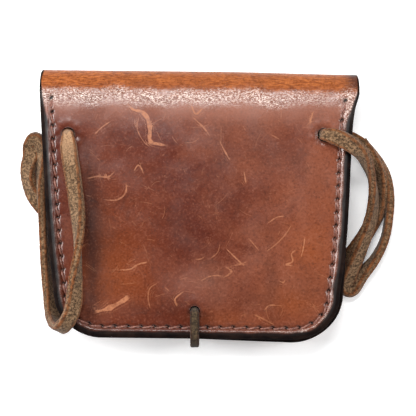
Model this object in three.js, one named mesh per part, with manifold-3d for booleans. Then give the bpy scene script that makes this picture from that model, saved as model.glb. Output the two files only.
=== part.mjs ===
// A saddle-leather belt pouch, lying closed on its flap with its back panel upwards.
// Millimetres. +X runs along the fold, +Y points to the fold and +Z out of the back.
// The origin is on the surface that it lies on, under the middle of the pouch.

import * as THREE from 'three';
import { mergeVertices } from 'three/addons/utils/BufferGeometryUtils.js';
import Module from 'manifold-3d';

const wasm = await Module();
wasm.setup();

// ---------------------------------------------------------------- driving dimensions

const LEATHER = 3; // back panel, fold and flap
const FRONT_LEATHER = 2.6; // the moulded front, a little stretched
const SEAT = 0.3; // gap between pieces that lie on each other
const DEPTH = 21; // from the flap's outer face to the back panel's

const FOLD_START = 44.8; // where the back panel leaves its plane and turns over the top
const FOLD_REACH = 8.2; // how far the fold stands out beyond that
const FOLD_HALF_DEPTH = 9; // half the fold's height
const SLANT = 0.011; // the fold and the bottom edge fall this much towards +X
const MOUTH = 43; // the front pocket's open upper edge

const FLANGE = 5.5; // stitched rim of the front pocket, in from the edge
const BULGE_FOOT = 19; // in from the edge to where the moulded front is flat
const FLAP_FOOT = 18; // in from its edge to where the flap is flat
const FLAP_EDGE_RISE = 9; // the flap's edge above its flat middle
const MOUTH_SLOPE_START = 24; // above this the flap and the front lean in to the fold

const LACE_WIDTH = 6.3;
const LACE_THICKNESS = 3;
const LACE_HOLE_RADIUS = 3;
const THONG_WIDTH = 3.4;
const THONG_THICKNESS = 2.4;
const THONG_HOLE_RADIUS = 2.3;

const STUD_NECK_RADIUS = 1.6;
const STUD_HEAD_RADIUS = 3.2;

// The stitched edge of the back panel, from the fold down to the corners.
const EDGE = rows('y left right', [
  [53, -62.5, 62.8],
  [46, -62.4, 62.6],
  [38, -62.1, 60.6],
  [28, -61.6, 59.6],
  [3, -60.2, 58.4],
  [-16, -58.8, 57.1],
  [-34, -56.9, 54.7],
]);

// Where each bottom corner meets the bottom edge.
const BACK_BOTTOM = { left: -38, right: 36, y: -51.4 };
const FLAP_BOTTOM = { left: -38, right: 36, y: -51.2 };

// How far the flap reaches past the stitched edge on each side, and below it.
const FLAP_PAST = rows('y left right', [
  [53, 0, 0],
  [40, -0.4, 0],
  [0, -0.8, 0],
  [-34, -0.8, 1.3],
]);
const FLAP_BELOW = { left: -0.6, right: 1.4 };

const LACE_HOLES = { left: { x: -51.2, y: 28.4 }, right: { x: 48.5, y: 28.1 } };
const THONG_HOLE = { x: -1.9, y: -40.4 };
const STUD_PLACE = { x: -1.9, y: -46.9 };

// The laces' centre lines, from the knot inside the pouch to the free end. tilt turns the wide
// side about the direction of travel: 0 lies level and 90 stands on edge, left edge up.
const LEFT_LACE = rows('x y z tilt wide thick', [
  [-39.5, 33, 14.4, 0, 6, 3],
  [-44, 31, 15.7, 0, 5.6, 2.8],
  [-48, 29.5, 15.9, 0, 4.6, 2.6],
  [-50.6, 28.7, 17.2, 0, 4.1, 3.1],
  [-51.2, 28.4, 20.4, 0, 4, 3.1],
  [-51, 27.3, 23.1, 0, 4.8, 3],
  [-50.8, 24.4, 23.7, 4],
  [-50.2, 19, 23.4, 10],
  [-49.1, 12.5, 24, 18],
  [-47.8, 3.5, 24.7, 30],
  [-46.9, -4.2, 25.4, 50],
  [-46.7, -12, 25.8, 72],
  [-47.1, -18.5, 25.9, 90],
  [-47.7, -25.1, 25.7, 112],
  [-48.1, -31.6, 25.3, 134],
  [-48.7, -37.6, 24.8, 150],
  [-50, -42.2, 25, 153],
  [-53.2, -46.5, 23.1, 138],
  [-56, -46.8, 16.6, 92],
  [-57.8, -44.2, 10.4, 52],
  [-58.8, -39.8, 7.4, 46],
  [-59.9, -32.6, 7, 62],
  [-61, -24, 6.6, 74],
  [-62, -12, 6.6, 84],
  [-62.8, -1.2, 6.8, 94],
  [-63.6, 8.5, 5.4, 108],
  [-63.2, 17.2, 3.9, 122],
  [-63.6, 24, 4, 142],
  [-65.8, 26.9, 4, 160],
  [-67.6, 24.8, 2.8, 176],
  [-67.8, 20.4, 2.3, 184],
  [-68.8, 14.6, 3.2, 215],
  [-68.2, 9.2, 3.5, 228],
  [-66, 4, 2.7, 208],
  [-62.4, -0.6, 1.8, 184],
  [-57.6, -5.4, 1.7, 180],
]);

const RIGHT_LACE = rows('x y z tilt wide thick', [
  [36.5, 28.3, 14.4, 0, 6, 3],
  [41.5, 28.3, 15.7, 0, 5.6, 2.8],
  [45.4, 28.2, 15.9, 0, 4.6, 2.6],
  [47.9, 28.1, 17.2, 0, 4.1, 3.1],
  [48.5, 28.1, 20.4, 0, 4, 3.1],
  [49.6, 27.9, 23.1, 0, 4.8, 3],
  [52, 27.4, 23.7, 4],
  [55.4, 26.1, 23.6, 14],
  [58.8, 24.2, 24.8, 30],
  [62.6, 21, 23.2, 52],
  [65.6, 16.4, 17.4, 76],
  [67.8, 11, 12.6, 95],
  [68.9, 3.6, 9.2, 112],
  [68.2, -4.4, 7.8, 126],
  [62.8, -19.5, 6.5, 142],
  [59.8, -26.9, 5.6, 146],
  [58.6, -32, 4.3, 150],
  [60.4, -33, 3.2, 146],
  [64.8, -27.2, 3.6, 124],
  [70, -21, 3.4, 102],
  [74, -13, 3.5, 92],
  [75.7, -3.5, 3.6, 92],
  [75.6, 4.8, 3.6, 102],
  [73.6, 11.8, 3.6, 130],
  [70.2, 18.2, 2.5, 166],
  [64.6, 24.8, 1.7, 180],
  [58.4, 27.4, 1.7, 180],
  [53.2, 25, 1.7, 180],
  [51.4, 15, 1.7, 180],
  [51.6, -20.4, 1.7, 180],
  [54.4, -25.2, 1.7, 180],
  [58.6, -21.4, 1.7, 180],
  [63.4, -15.8, 1.7, 180],
  [67.6, -9.2, 1.9, 176],
  [71, -2.4, 3.1, 150],
  [72.8, 4.4, 3.8, 116],
  [72.4, 10, 4.8, 124],
  [70.2, 16, 5.8, 146],
  [67, 21.4, 5.7, 160],
  [63.8, 25.6, 5.5, 166],
]);

// The closing thong, from its knot inside the pouch to the eye over the stud.
const THONG = rows('x y z tilt wide thick', [
  [-1.9, -32.7, 15, 0, 3, 2.2],
  [-1.9, -37.3, 15.2, 0, 3.4, 2.4],
  [-1.9, -39.9, 17.4, 0, 3, 2.8],
  [-1.9, -40.5, 20.4, 0, 2.9, 2.4],
  [-1.9, -42.3, 23.2, 0],
  [-1.9, -46, 22.6, 0],
  [-1.9, -50.8, 22.9, 0],
  [-1.9, -53.2, 20.9, 0],
  [-1.9, -53.6, 16, 0],
  [-1.9, -53.5, 11, 0],
  [-1.9, -53.2, 8.4, 0],
  [-1.9, -51.4, 7.2, 0],
  [-1.9, -49.8, 6.9, 0, 5.6, 2.2],
  [-1.9, -47.6, 6, 0, 7.8, 2.2],
  [-1.9, -45.4, 4.8, 0, 7.2, 2.2],
  [-1.9, -43.6, 3.7, 0, 3.4, 2],
]);

// ---------------------------------------------------------------- small helpers

function rows(columns, table) {
  const names = columns.split(' ');
  return table.map((values) => Object.fromEntries(names.map((name, i) => [name, values[i]])));
}

// A smooth curve through one column of a table whose first column falls.
function along(table, y, column) {
  const last = table.length - 1;
  const slope = (i) => {
    const a = table[Math.max(i - 1, 0)];
    const b = table[Math.min(i + 1, last)];
    return (b[column] - a[column]) / (b.y - a.y);
  };
  const i = Math.max(0, Math.min(last - 1, table.findIndex((row) => row.y <= y) - 1));
  const [a, b] = [table[i], table[i + 1]];
  const span = b.y - a.y;
  const t = Math.max(0, Math.min(1, (y - a.y) / span));
  const [t2, t3] = [t * t, t * t * t];
  return a[column] * (2 * t3 - 3 * t2 + 1) + b[column] * (3 * t2 - 2 * t3)
    + span * (slope(i) * (t3 - 2 * t2 + t) + slope(i + 1) * (t3 - t2));
}

const ease = (t) => {
  const s = Math.max(0, Math.min(1, t));
  return s * s * (3 - 2 * s);
};

const range = (count, first, last) =>
  Array.from({ length: count }, (_, i) => first + ((last - first) * i) / (count - 1));

// A closed mesh from points and triangles, turned so that its faces point out.
function closedGeometry(points, triangles) {
  let volume = 0;
  for (const [a, b, c] of triangles) {
    volume += points[a].dot(points[b].clone().cross(points[c]));
  }
  const faces = volume < 0 ? triangles.map(([a, b, c]) => [a, c, b]) : triangles;
  const geometry = new THREE.BufferGeometry();
  geometry.setAttribute(
    'position', new THREE.Float32BufferAttribute(points.flatMap((p) => [p.x, p.y, p.z]), 3));
  geometry.setIndex(faces.flat());
  return geometry;
}

// Joins rings of equal length into one solid. cap(n) gives the triangles that close a ring.
function loft(rings, cap) {
  const n = rings[0].length;
  const triangles = [];
  for (let r = 0; r + 1 < rings.length; r += 1) {
    for (let i = 0; i < n; i += 1) {
      const [a, b] = [r * n + i, r * n + ((i + 1) % n)];
      triangles.push([a, b, b + n], [a, b + n, a + n]);
    }
  }
  const end = (rings.length - 1) * n;
  for (const [a, b, c] of cap(n)) {
    triangles.push([a, c, b], [end + a, end + b, end + c]);
  }
  return closedGeometry(rings.flat(), triangles);
}

const fanCap = (n) => range(n - 2, 1, n - 2).map((i) => [0, i, i + 1]);

// Rungs across a loop that runs down one side and back up the other.
const ladderCap = (n) => range(n / 2 - 1, 0, n / 2 - 2).flatMap((i) => {
  const j = n - 1 - i;
  return [[i, i + 1, j - 1], [i, j - 1, j]];
});

function toSolid(geometry) {
  const bare = geometry.clone();
  bare.deleteAttribute('normal');
  bare.deleteAttribute('uv');
  const merged = mergeVertices(bare, 1e-4);
  return new wasm.Manifold(new wasm.Mesh({
    numProp: 3,
    vertProperties: new Float32Array(merged.attributes.position.array),
    triVerts: new Uint32Array(merged.index.array),
  }));
}

function toGeometry(solid) {
  const mesh = solid.getMesh();
  const geometry = new THREE.BufferGeometry();
  geometry.setAttribute('position', new THREE.BufferAttribute(mesh.vertProperties, 3));
  geometry.setIndex(new THREE.BufferAttribute(mesh.triVerts, 1));
  return geometry;
}

// A round cutter through the sheet at a point, along a direction.
function punch(place, direction, radius, length = 12) {
  const geometry = new THREE.CylinderGeometry(radius, radius, length, 16);
  const turn = new THREE.Quaternion().setFromUnitVectors(new THREE.Vector3(0, 1, 0), direction);
  geometry.applyQuaternion(turn).translate(place.x, place.y, place.z);
  return toSolid(geometry);
}

// ---------------------------------------------------------------- outline of the pouch

const CORNER_START = EDGE[EDGE.length - 1].y;

// One side of an outline, from the height top down to its bottom edge.
function sideOfOutline(side, top, bottom, past, below, sideSteps, cornerSteps) {
  const outward = side === 'left' ? -1 : 1;
  const edge = (y) => along(EDGE, y, side) + outward * past(y);
  const straight = range(sideSteps, top, CORNER_START).map((y) => [edge(y), y]);
  const start = edge(CORNER_START);
  const low = bottom.y - below;
  const corner = range(cornerSteps, 0, Math.PI / 2).slice(1).map((angle) => [
    bottom[side] + (start - bottom[side]) * Math.cos(angle),
    CORNER_START + (low - CORNER_START) * Math.sin(angle),
  ]);
  return [...straight, ...corner];
}

const backSide = (side, top) =>
  sideOfOutline(side, top, BACK_BOTTOM, () => 0, 0, 8, 8);
const flapSide = (side, top) =>
  sideOfOutline(side, top, FLAP_BOTTOM, (y) => along(FLAP_PAST, y, side), FLAP_BELOW[side], 10, 8);

// The outline as one run down the left side and up the right, with outward normals.
function rimWithNormals(top) {
  const run = [...backSide('left', top), ...backSide('right', top).reverse()];
  return run.map(([x, y], i) => {
    if (i === 0 || i === run.length - 1) return { x, y, nx: Math.sign(x), ny: 0 };
    const [ax, ay] = run[i - 1];
    const [bx, by] = run[i + 1];
    const size = Math.hypot(bx - ax, by - ay);
    return { x, y, nx: (by - ay) / size, ny: (ax - bx) / size };
  });
}

const slanted = (x, y, z) => new THREE.Vector3(x, y - SLANT * x, z);

// How far the flap and the front lean towards the back at this height.
const leanAt = (y) => (DEPTH - 2 * FOLD_HALF_DEPTH)
  * ease((y - MOUTH_SLOPE_START) / (FOLD_START - MOUTH_SLOPE_START));

// ---------------------------------------------------------------- back panel, fold and flap

// The flap's outer face: flat in the middle, rising to its free edges.
function flapHeight(x, y, left, right, bottom) {
  const side = Math.max(0, 1 - Math.min(x - left, right - x) / FLAP_FOOT);
  const low = Math.max(0, 1 - (y - bottom) / FLAP_FOOT);
  const lean = leanAt(y) / (DEPTH - 2 * FOLD_HALF_DEPTH);
  return leanAt(y) + FLAP_EDGE_RISE * ease(Math.hypot(side, low)) * (1 - lean);
}

// Places across the sheet, close together where the flap's sides rise.
const NEAR_SIDE = range(8, 0, 0.152);
const COLUMNS = [...NEAR_SIDE, 0.3, 0.5, 0.7, ...NEAR_SIDE.map((u) => 1 - u).reverse()];

function backAndFlap() {
  const outer = [];
  const inner = [];
  const addRow = (makeOuter, makeInner) => {
    outer.push(COLUMNS.map(makeOuter));
    inner.push(COLUMNS.map(makeInner));
  };
  const across = (a, b) => (u) => a + (b - a) * u;

  const [backLeft, backRight] = [backSide('left', FOLD_START), backSide('right', FOLD_START)];
  for (let i = backLeft.length - 1; i >= 0; i -= 1) {
    const x = across(backLeft[i][0], backRight[i][0]);
    const y = backLeft[i][1];
    addRow((u) => slanted(x(u), y, DEPTH), (u) => slanted(x(u), y, DEPTH - LEATHER));
  }

  const middle = DEPTH - FOLD_HALF_DEPTH;
  for (const angle of range(13, Math.PI / 2, -Math.PI / 2).slice(1, -1)) {
    const x = across(along(EDGE, FOLD_START, 'left'), along(EDGE, FOLD_START, 'right'));
    const shell = (inset) => (u) => slanted(
      x(u),
      FOLD_START + (FOLD_REACH - inset) * Math.cos(angle),
      middle + (FOLD_HALF_DEPTH - inset) * Math.sin(angle));
    addRow(shell(0), shell(LEATHER));
  }

  const [flapLeft, flapRight] = [flapSide('left', FOLD_START), flapSide('right', FOLD_START)];
  const lowest = { left: FLAP_BOTTOM.y - FLAP_BELOW.left, right: FLAP_BOTTOM.y - FLAP_BELOW.right };
  flapLeft.forEach(([leftX, leftY], i) => {
    const [rightX, rightY] = flapRight[i];
    const height = (u) => {
      const [x, y] = [across(leftX, rightX)(u), across(leftY, rightY)(u)];
      const edgeY = Math.max(y, CORNER_START);
      const left = along(EDGE, edgeY, 'left') - along(FLAP_PAST, edgeY, 'left');
      const right = along(EDGE, edgeY, 'right') + along(FLAP_PAST, edgeY, 'right');
      const bottom = across(lowest.left, lowest.right)((x - left) / (right - left));
      return flapHeight(x, y, left, right, bottom);
    };
    const at = (lift) => (u) =>
      slanted(across(leftX, rightX)(u), across(leftY, rightY)(u), height(u) + lift);
    addRow(at(0), at(LEATHER));
  });

  let solid = toSolid(sheetGeometry(outer, inner));
  const up = new THREE.Vector3(0, 0, 1);
  const cuts = [
    punch({ ...LACE_HOLES.left, z: DEPTH }, up, LACE_HOLE_RADIUS),
    punch({ ...LACE_HOLES.right, z: DEPTH }, up, LACE_HOLE_RADIUS),
    punch({ ...THONG_HOLE, z: DEPTH }, up, THONG_HOLE_RADIUS),
    punch(studSeat().place, studSeat().axis, STUD_NECK_RADIUS + SEAT, 9),
  ];
  for (const cut of cuts) solid = solid.subtract(cut);
  return toGeometry(solid);
}

// A closed sheet from its outer and inner grids.
function sheetGeometry(outer, inner) {
  const [rowCount, columnCount] = [outer.length, outer[0].length];
  const points = [...outer.flat(), ...inner.flat()];
  const offset = rowCount * columnCount;
  const at = (r, c) => r * columnCount + c;
  const triangles = [];
  const quad = (a, b, c, d) => triangles.push([a, b, c], [a, c, d]);
  for (let r = 0; r + 1 < rowCount; r += 1) {
    for (let c = 0; c + 1 < columnCount; c += 1) {
      const [a, b, d, e] = [at(r, c), at(r, c + 1), at(r + 1, c + 1), at(r + 1, c)];
      quad(a, b, d, e);
      quad(offset + a, offset + e, offset + d, offset + b);
    }
    const last = columnCount - 1;
    quad(at(r, 0), at(r + 1, 0), offset + at(r + 1, 0), offset + at(r, 0));
    quad(at(r, last), offset + at(r, last), offset + at(r + 1, last), at(r + 1, last));
  }
  for (let c = 0; c + 1 < columnCount; c += 1) {
    const last = rowCount - 1;
    quad(at(0, c), offset + at(0, c), offset + at(0, c + 1), at(0, c + 1));
    quad(at(last, c), at(last, c + 1), offset + at(last, c + 1), offset + at(last, c));
  }
  return closedGeometry(points, triangles);
}

// ---------------------------------------------------------------- moulded front

const RIM_TOP = DEPTH - LEATHER - SEAT; // the rim's face against the back panel
const RIM_FOOT = RIM_TOP - FRONT_LEATHER;
const FRONT_FACE = LEATHER + SEAT; // the moulded front's flat outer face
const SHOULDER = 0.4; // 0 is a soft S-shaped wall, 1 a round shoulder

// The wall's profile: how far in from the edge, and how high, with its normal to the inside.
function wallProfile(steps) {
  return range(steps, 0, 1).map((t) => {
    const inset = FLANGE + (BULGE_FOOT - FLANGE) * t;
    const drop = (1 - SHOULDER) * ease(t) + SHOULDER * Math.sin((Math.PI / 2) * t);
    const steepness = (1 - SHOULDER) * 6 * t * (1 - t)
      + SHOULDER * (Math.PI / 2) * Math.cos((Math.PI / 2) * t);
    const z = RIM_FOOT - (RIM_FOOT - FRONT_FACE) * drop;
    const slope = -(RIM_FOOT - FRONT_FACE) * steepness / (BULGE_FOOT - FLANGE);
    const size = Math.hypot(1, slope);
    return { inset, z, normalInset: -slope / size, normalZ: 1 / size };
  });
}

function frontPocket() {
  const ring = (rim, inset, z) => rim.map((p) => {
    const y = p.y - inset * p.ny;
    const lean = leanAt(y) * ease((RIM_FOOT - z) / (RIM_FOOT - FRONT_FACE));
    return slanted(p.x - inset * p.nx, y, z + lean);
  });
  const rim = rimWithNormals(MOUTH);
  const profile = wallProfile(9);
  const outside = [
    ring(rim, 0, RIM_TOP),
    ring(rim, 0, RIM_FOOT),
    ...profile.map((p) => ring(rim, p.inset, p.z)),
  ];
  const openRim = rimWithNormals(MOUTH);
  openRim.unshift({ ...openRim[0], y: MOUTH + 9 });
  openRim.push({ ...openRim[openRim.length - 1], y: MOUTH + 9 });
  const inside = profile.map((p) => {
    const inset = p.inset + FRONT_LEATHER * p.normalInset;
    return ring(openRim, inset, p.z + FRONT_LEATHER * p.normalZ);
  });
  inside.unshift(ring(openRim, FLANGE, RIM_TOP + 3));
  return toGeometry(toSolid(loft(outside, ladderCap)).subtract(toSolid(loft(inside, ladderCap))));
}

// ---------------------------------------------------------------- laces, thong and stud

// A flat strip along a route, with bevelled corners.
function strip(route, width, thickness, steps) {
  const curve = new THREE.CatmullRomCurve3(
    route.map((p) => new THREE.Vector3(p.x, p.y, p.z)), false, 'centripetal');
  const value = (t, column, standard) => {
    const place = t * (route.length - 1);
    const i = Math.min(Math.floor(place), route.length - 2);
    const [a, b] = [route[i][column] ?? standard, route[i + 1][column] ?? standard];
    return a + (b - a) * (place - i);
  };
  const rings = range(steps + 1, 0, 1).map((u) => {
    const t = curve.getUtoTmapping(u);
    const centre = curve.getPoint(t);
    const travel = curve.getTangent(t);
    const level = new THREE.Vector3(0, 0, 1).cross(travel).normalize();
    const tilt = THREE.MathUtils.degToRad(value(t, 'tilt', 0));
    const wide = level.applyAxisAngle(travel, tilt);
    const thick = travel.clone().cross(wide);
    const [w, h] = [value(t, 'wide', width) / 2, value(t, 'thick', thickness) / 2];
    const bevel = Math.min(0.3 * h + 0.25, 0.6 * h);
    const section = [
      [w, h - bevel], [w - bevel, h], [bevel - w, h], [-w, h - bevel],
      [-w, bevel - h], [bevel - w, -h], [w - bevel, -h], [w, bevel - h],
    ];
    return section.map(([a, b]) =>
      centre.clone().addScaledVector(wide, a).addScaledVector(thick, b));
  });
  return loft(rings, fanCap);
}

// A stopper knot as one plain lump at the start of a route.
function knot(start, radius, halfHeight) {
  const lump = new THREE.SphereGeometry(radius, 14, 8);
  lump.scale(1, 1, halfHeight / radius).translate(start.x, start.y, start.z);
  return toSolid(lump);
}

function lace(route) {
  const steps = Math.round(new THREE.CatmullRomCurve3(
    route.map((p) => new THREE.Vector3(p.x, p.y, p.z)), false, 'centripetal').getLength() / 3.8);
  const flat = toSolid(strip(route, LACE_WIDTH, LACE_THICKNESS, steps));
  return toGeometry(flat.add(knot(route[0], 4.6, 3)));
}

function studSeat() {
  const { x, y } = STUD_PLACE;
  const bottom = FLAP_BOTTOM.y - (FLAP_BELOW.left + FLAP_BELOW.right) / 2;
  const height = (at) => flapHeight(x, at, -60, 60, bottom);
  const slope = height(y + 0.5) - height(y - 0.5);
  return {
    place: new THREE.Vector3(x, y, height(y)),
    axis: new THREE.Vector3(0, slope, -1).normalize(),
  };
}

function closingThong() {
  const { place, axis } = studSeat();
  const flat = toSolid(strip(THONG, THONG_WIDTH, THONG_THICKNESS, 30));
  const eye = punch(place, axis, STUD_NECK_RADIUS + SEAT, 12);
  return toGeometry(flat.add(knot(THONG[0], 3, 2.4)).subtract(eye));
}

function flapStud() {
  const [neck, head] = [STUD_NECK_RADIUS, STUD_HEAD_RADIUS];
  const profile = [
    [0, -LEATHER - SEAT - 1], [2.8, -LEATHER - SEAT - 1], [2.8, -LEATHER - SEAT],
    [neck, -LEATHER - SEAT], [neck, 3.8], [head - 0.4, 3.8], [head, 4.2],
    [head - 0.5, 4.9], [0, 5.3],
  ].map(([r, h]) => new THREE.Vector2(r, h));
  return new THREE.LatheGeometry(profile, 20);
}

// ---------------------------------------------------------------- the assembly

const leatherBrown = new THREE.MeshStandardMaterial({ color: 0x7a3f2a, roughness: 0.4 });
const leatherFront = new THREE.MeshStandardMaterial({ color: 0x6e3521, roughness: 0.45 });
const rawhide = new THREE.MeshStandardMaterial({ color: 0x7d6647, roughness: 0.9 });
const thongHide = new THREE.MeshStandardMaterial({ color: 0x6b4a2e, roughness: 0.85 });
const brass = new THREE.MeshStandardMaterial({ color: 0xb08d4a, roughness: 0.4, metalness: 1 });

function piece(name, geometry, material) {
  const mesh = new THREE.Mesh(geometry, material);
  mesh.name = name;
  return mesh;
}

const pouch = new THREE.Group();
pouch.add(piece('back_and_flap', backAndFlap(), leatherBrown));
pouch.add(piece('front_pocket', frontPocket(), leatherFront));
pouch.add(piece('lace_left', lace(LEFT_LACE), rawhide));
pouch.add(piece('lace_right', lace(RIGHT_LACE), rawhide));
pouch.add(piece('closing_thong', closingThong(), thongHide));

const stud = piece('flap_stud', flapStud(), brass);
stud.position.copy(studSeat().place);
stud.quaternion.setFromUnitVectors(new THREE.Vector3(0, 1, 0), studSeat().axis);
pouch.add(stud);

export default pouch;
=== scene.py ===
"""A saddle-leather belt pouch that lies closed on its flap, with its back panel upwards.

The tables and shape functions are in millimetres, in the frame's axes: +X runs along the
fold, +Y points to the fold and +Z out of the back panel. Meshes are made in metres.
"""

import math

import bpy
import numpy as np
from mathutils.geometry import delaunay_2d_cdt
from mathutils.kdtree import KDTree
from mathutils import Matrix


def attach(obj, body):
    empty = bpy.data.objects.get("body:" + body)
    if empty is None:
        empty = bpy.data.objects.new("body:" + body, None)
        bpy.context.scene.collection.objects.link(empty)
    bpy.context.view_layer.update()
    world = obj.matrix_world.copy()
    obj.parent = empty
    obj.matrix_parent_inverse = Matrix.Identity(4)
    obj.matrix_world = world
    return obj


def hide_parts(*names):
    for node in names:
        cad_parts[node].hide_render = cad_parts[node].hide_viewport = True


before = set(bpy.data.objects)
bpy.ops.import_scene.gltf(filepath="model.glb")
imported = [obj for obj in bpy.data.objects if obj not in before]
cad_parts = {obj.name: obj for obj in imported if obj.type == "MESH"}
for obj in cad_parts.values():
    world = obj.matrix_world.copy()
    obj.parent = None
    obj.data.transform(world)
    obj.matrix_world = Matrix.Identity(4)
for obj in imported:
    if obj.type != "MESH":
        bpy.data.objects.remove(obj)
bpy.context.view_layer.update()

MM = 0.001
SIDES = ("left", "right")

# ---- the pouch's sizes

LEATHER = 3.0  # back panel, fold and flap
FRONT_LEATHER = 2.6  # the moulded front
SEAT = 0.3  # gap between layers
DEPTH = 21.0  # from the flap's outer face to the back panel's
FOLD_START = 44.8  # where the back panel starts to turn over the top
FOLD_REACH = 8.2
FOLD_SLACK = 0.65  # how much further the fold reaches away from its right end
FOLD_HALF_DEPTH = 9.0
SLANT = 0.011  # the fold and the bottom edge fall this much towards +X
MOUTH = 43.0
MOUTH_CORNER = 2.5
FLANGE = 5.5  # how wide the front's stitched rim is
BULGE_FOOT = 19.0  # how far in the front is fully moulded
FLAP_FOOT = 18.0  # how far in from its edge the flap is flat
FLAP_EDGE_RISE = 9.0
MOUTH_SLOPE_START = 24.0
SHOULDER = 0.4

# The stitched edge: y, left x, right x.
EDGE = np.array([
    (53, -62.5, 62.8), (46, -62.4, 62.6), (38, -62.1, 60.6), (28, -61.6, 59.6),
    (3, -60.2, 58.4), (-16, -58.8, 57.1), (-34, -56.9, 54.7),
])
CORNER_START = -34.0
BACK_CORNERS = {"left": -38.0, "right": 36.0, "low_left": -51.4, "low_right": -51.4}
FLAP_CORNERS = {"left": -38.0, "right": 36.0, "low_left": -50.6, "low_right": -53.2}
FLAP_BOW = 0.2  # how much further down the flap reaches at its middle
# How far the flap reaches past the stitched edge: y, left, right.
FLAP_PAST = np.array([(53, 0, 0), (40, -0.4, 0), (0, -0.8, 0), (-34, -0.8, 2.0)])

# The back panel's holes: place, radius and points round the rim, then the pressed rim's
# depth, its ridge's height, the turn of its creases and the radius of the darker ring round it.
HOLES = {
    "lace_left": ((-51.2, 28.4), 2.65, 56, 0.22, 0.07, 1.0, 3.0),
    "lace_right": ((48.5, 28.1), 2.65, 56, 0.22, 0.07, 2.4, 3.0),
    "thong": ((-1.9, -40.4), 2.0, 48, 0.30, 0.10, 0.3, 2.3),
}
STUD_PLACE = (-1.9, -46.9)
STUD_NECK_RADIUS = 1.6

STITCH_INSET = 4.4  # from the edge to the seam
STITCH_PITCH = 5.1
FIRST_HOLE_Y = 42.1  # the uppermost stitch hole on both sides
FIRST_STITCH = {"left": 5.6, "right": 7.8}  # the long stitches at the seam's ends
THREAD_RADIUS = 0.42

LACE_WIDTH = 6.3
LACE_THICKNESS = 3.0
THONG_WIDTH = 3.4
THONG_THICKNESS = 2.4

# ---- small helpers


def smoothstep(value, low, high):
    t = np.clip((np.asarray(value, float) - low) / (high - low), 0, 1)
    return t * t * (3 - 2 * t)


def hill(value, centre, width):
    return np.exp(-(((value - centre) / width) ** 2))


def travelled(points):
    """The distance from the first point to each one, along them all."""
    return np.r_[0, np.cumsum(np.linalg.norm(np.diff(points, axis=0), axis=1))]


def circle_points(count):
    angle = np.linspace(0, math.tau, count, endpoint=False)
    return np.c_[np.cos(angle), np.sin(angle)]


def unit(vectors):
    return vectors / np.linalg.norm(vectors, axis=-1, keepdims=True)


def ripples(x, y, wavelength, seed):
    """A smooth uneven field between about -1 and 1."""
    rng, waves = np.random.default_rng(seed), 7
    total = np.zeros_like(np.asarray(x, float))
    for _ in range(waves):
        angle, phase = rng.uniform(0, math.tau, 2)
        k = math.tau / (wavelength * rng.uniform(0.7, 1.5))
        total += np.sin(k * (x * math.cos(angle) + y * math.sin(angle)) + phase)
    return total / math.sqrt(waves * 2)


def smooth_route(points, t):
    """The centripetal curve through the points, at t from 0 to 1 over the table's rows."""
    p = np.vstack([2 * points[0] - points[1], points, 2 * points[-1] - points[-2]])
    place = np.clip(t, 0, 1) * (len(points) - 1)
    i = np.minimum(place.astype(int), len(points) - 2)
    w = (place - i)[:, None]
    p0, p1, p2, p3 = (p[i + k] for k in range(4))
    d0, d1, d2 = (np.sqrt(np.linalg.norm(b - a, axis=1))[:, None]
                  for a, b in ((p0, p1), (p1, p2), (p2, p3)))
    m1 = ((p1 - p0) / d0 - (p2 - p0) / (d0 + d1) + (p2 - p1) / d1) * d1
    m2 = ((p2 - p1) / d1 - (p3 - p1) / (d1 + d2) + (p3 - p2) / d2) * d1
    return p1 + m1 * w + (3 * (p2 - p1) - 2 * m1 - m2) * w**2 + (2 * (p1 - p2) + m1 + m2) * w**3


def show(name, data):
    """An object with this data, put into the scene."""
    made = bpy.data.objects.new(name, data)
    bpy.context.scene.collection.objects.link(made)
    return made


def make_mesh(name, points, faces, edges=()):
    """A mesh from points in millimetres."""
    mesh = bpy.data.meshes.new(name)
    mesh.from_pydata((np.asarray(points) * MM).tolist(), list(edges),
                     [list(map(int, face)) for face in faces])
    return mesh


def make_piece(name, points, faces, material, channels=None):
    """A piece from points in millimetres, with a float attribute for each channel."""
    mesh = make_mesh(name, points, faces)
    for channel, values in (channels or {}).items():
        attribute = mesh.attributes.new(channel, "FLOAT", "POINT")
        attribute.data.foreach_set("value", np.ascontiguousarray(values, np.float32))
    mesh.materials.append(material)
    mesh.shade_smooth()
    return show(name, mesh)


def declare(piece, node=None):
    """Every piece rides on the one body; some stand for a node of the frame."""
    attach(piece, "root")
    if node:
        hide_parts(node)


def ring_faces(rings, around):
    """Quads that join closed rings of equal length, one after another."""
    i = np.arange(around)
    j = (i + 1) % around
    return [quad for r in range(rings - 1)
            for quad in np.stack([r * around + i, r * around + j, (r + 1) * around + j,
                                  (r + 1) * around + i], axis=1)]


def tube_faces(rings, around):
    """Closed rings joined one after another, with both ends capped."""
    ends = [range(around)[::-1], range((rings - 1) * around, rings * around)]
    return ring_faces(rings, around) + ends


def feed(node, inputs):
    """Sets a node's inputs to values or links them to other nodes' sockets."""
    for key, value in inputs.items():
        socket = node.inputs[key]
        if isinstance(value, bpy.types.NodeSocket):
            node.id_data.links.new(value, socket)
        elif value is not None:
            socket.default_value = (*value, 1.0) if socket.type == "RGBA" else value


def add_node(tree, kind, inputs=None, output=0, **settings):
    """Adds a node and gives one of its output sockets."""
    node = tree.nodes.new(kind)
    for key, value in settings.items():
        setattr(node, key, value)
    feed(node, inputs or {})
    return node.outputs[output]


# ---- camera, light and floor

CAMERA_PLACE = (3.3, -0.39, 621.0)
SEEN_WIDTH = 161.9  # at SEEN_AT from the camera
SEEN_AT = 600.0
SENSOR = 36.0

camera = show("camera", bpy.data.cameras.new("camera"))
camera.data.sensor_width = SENSOR
camera.data.lens = SENSOR * SEEN_AT / SEEN_WIDTH
camera.data.clip_start = 0.01
camera.location = [value * MM for value in CAMERA_PLACE]
bpy.context.scene.camera = camera
bpy.context.scene.view_settings.view_transform = "Standard"


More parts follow.
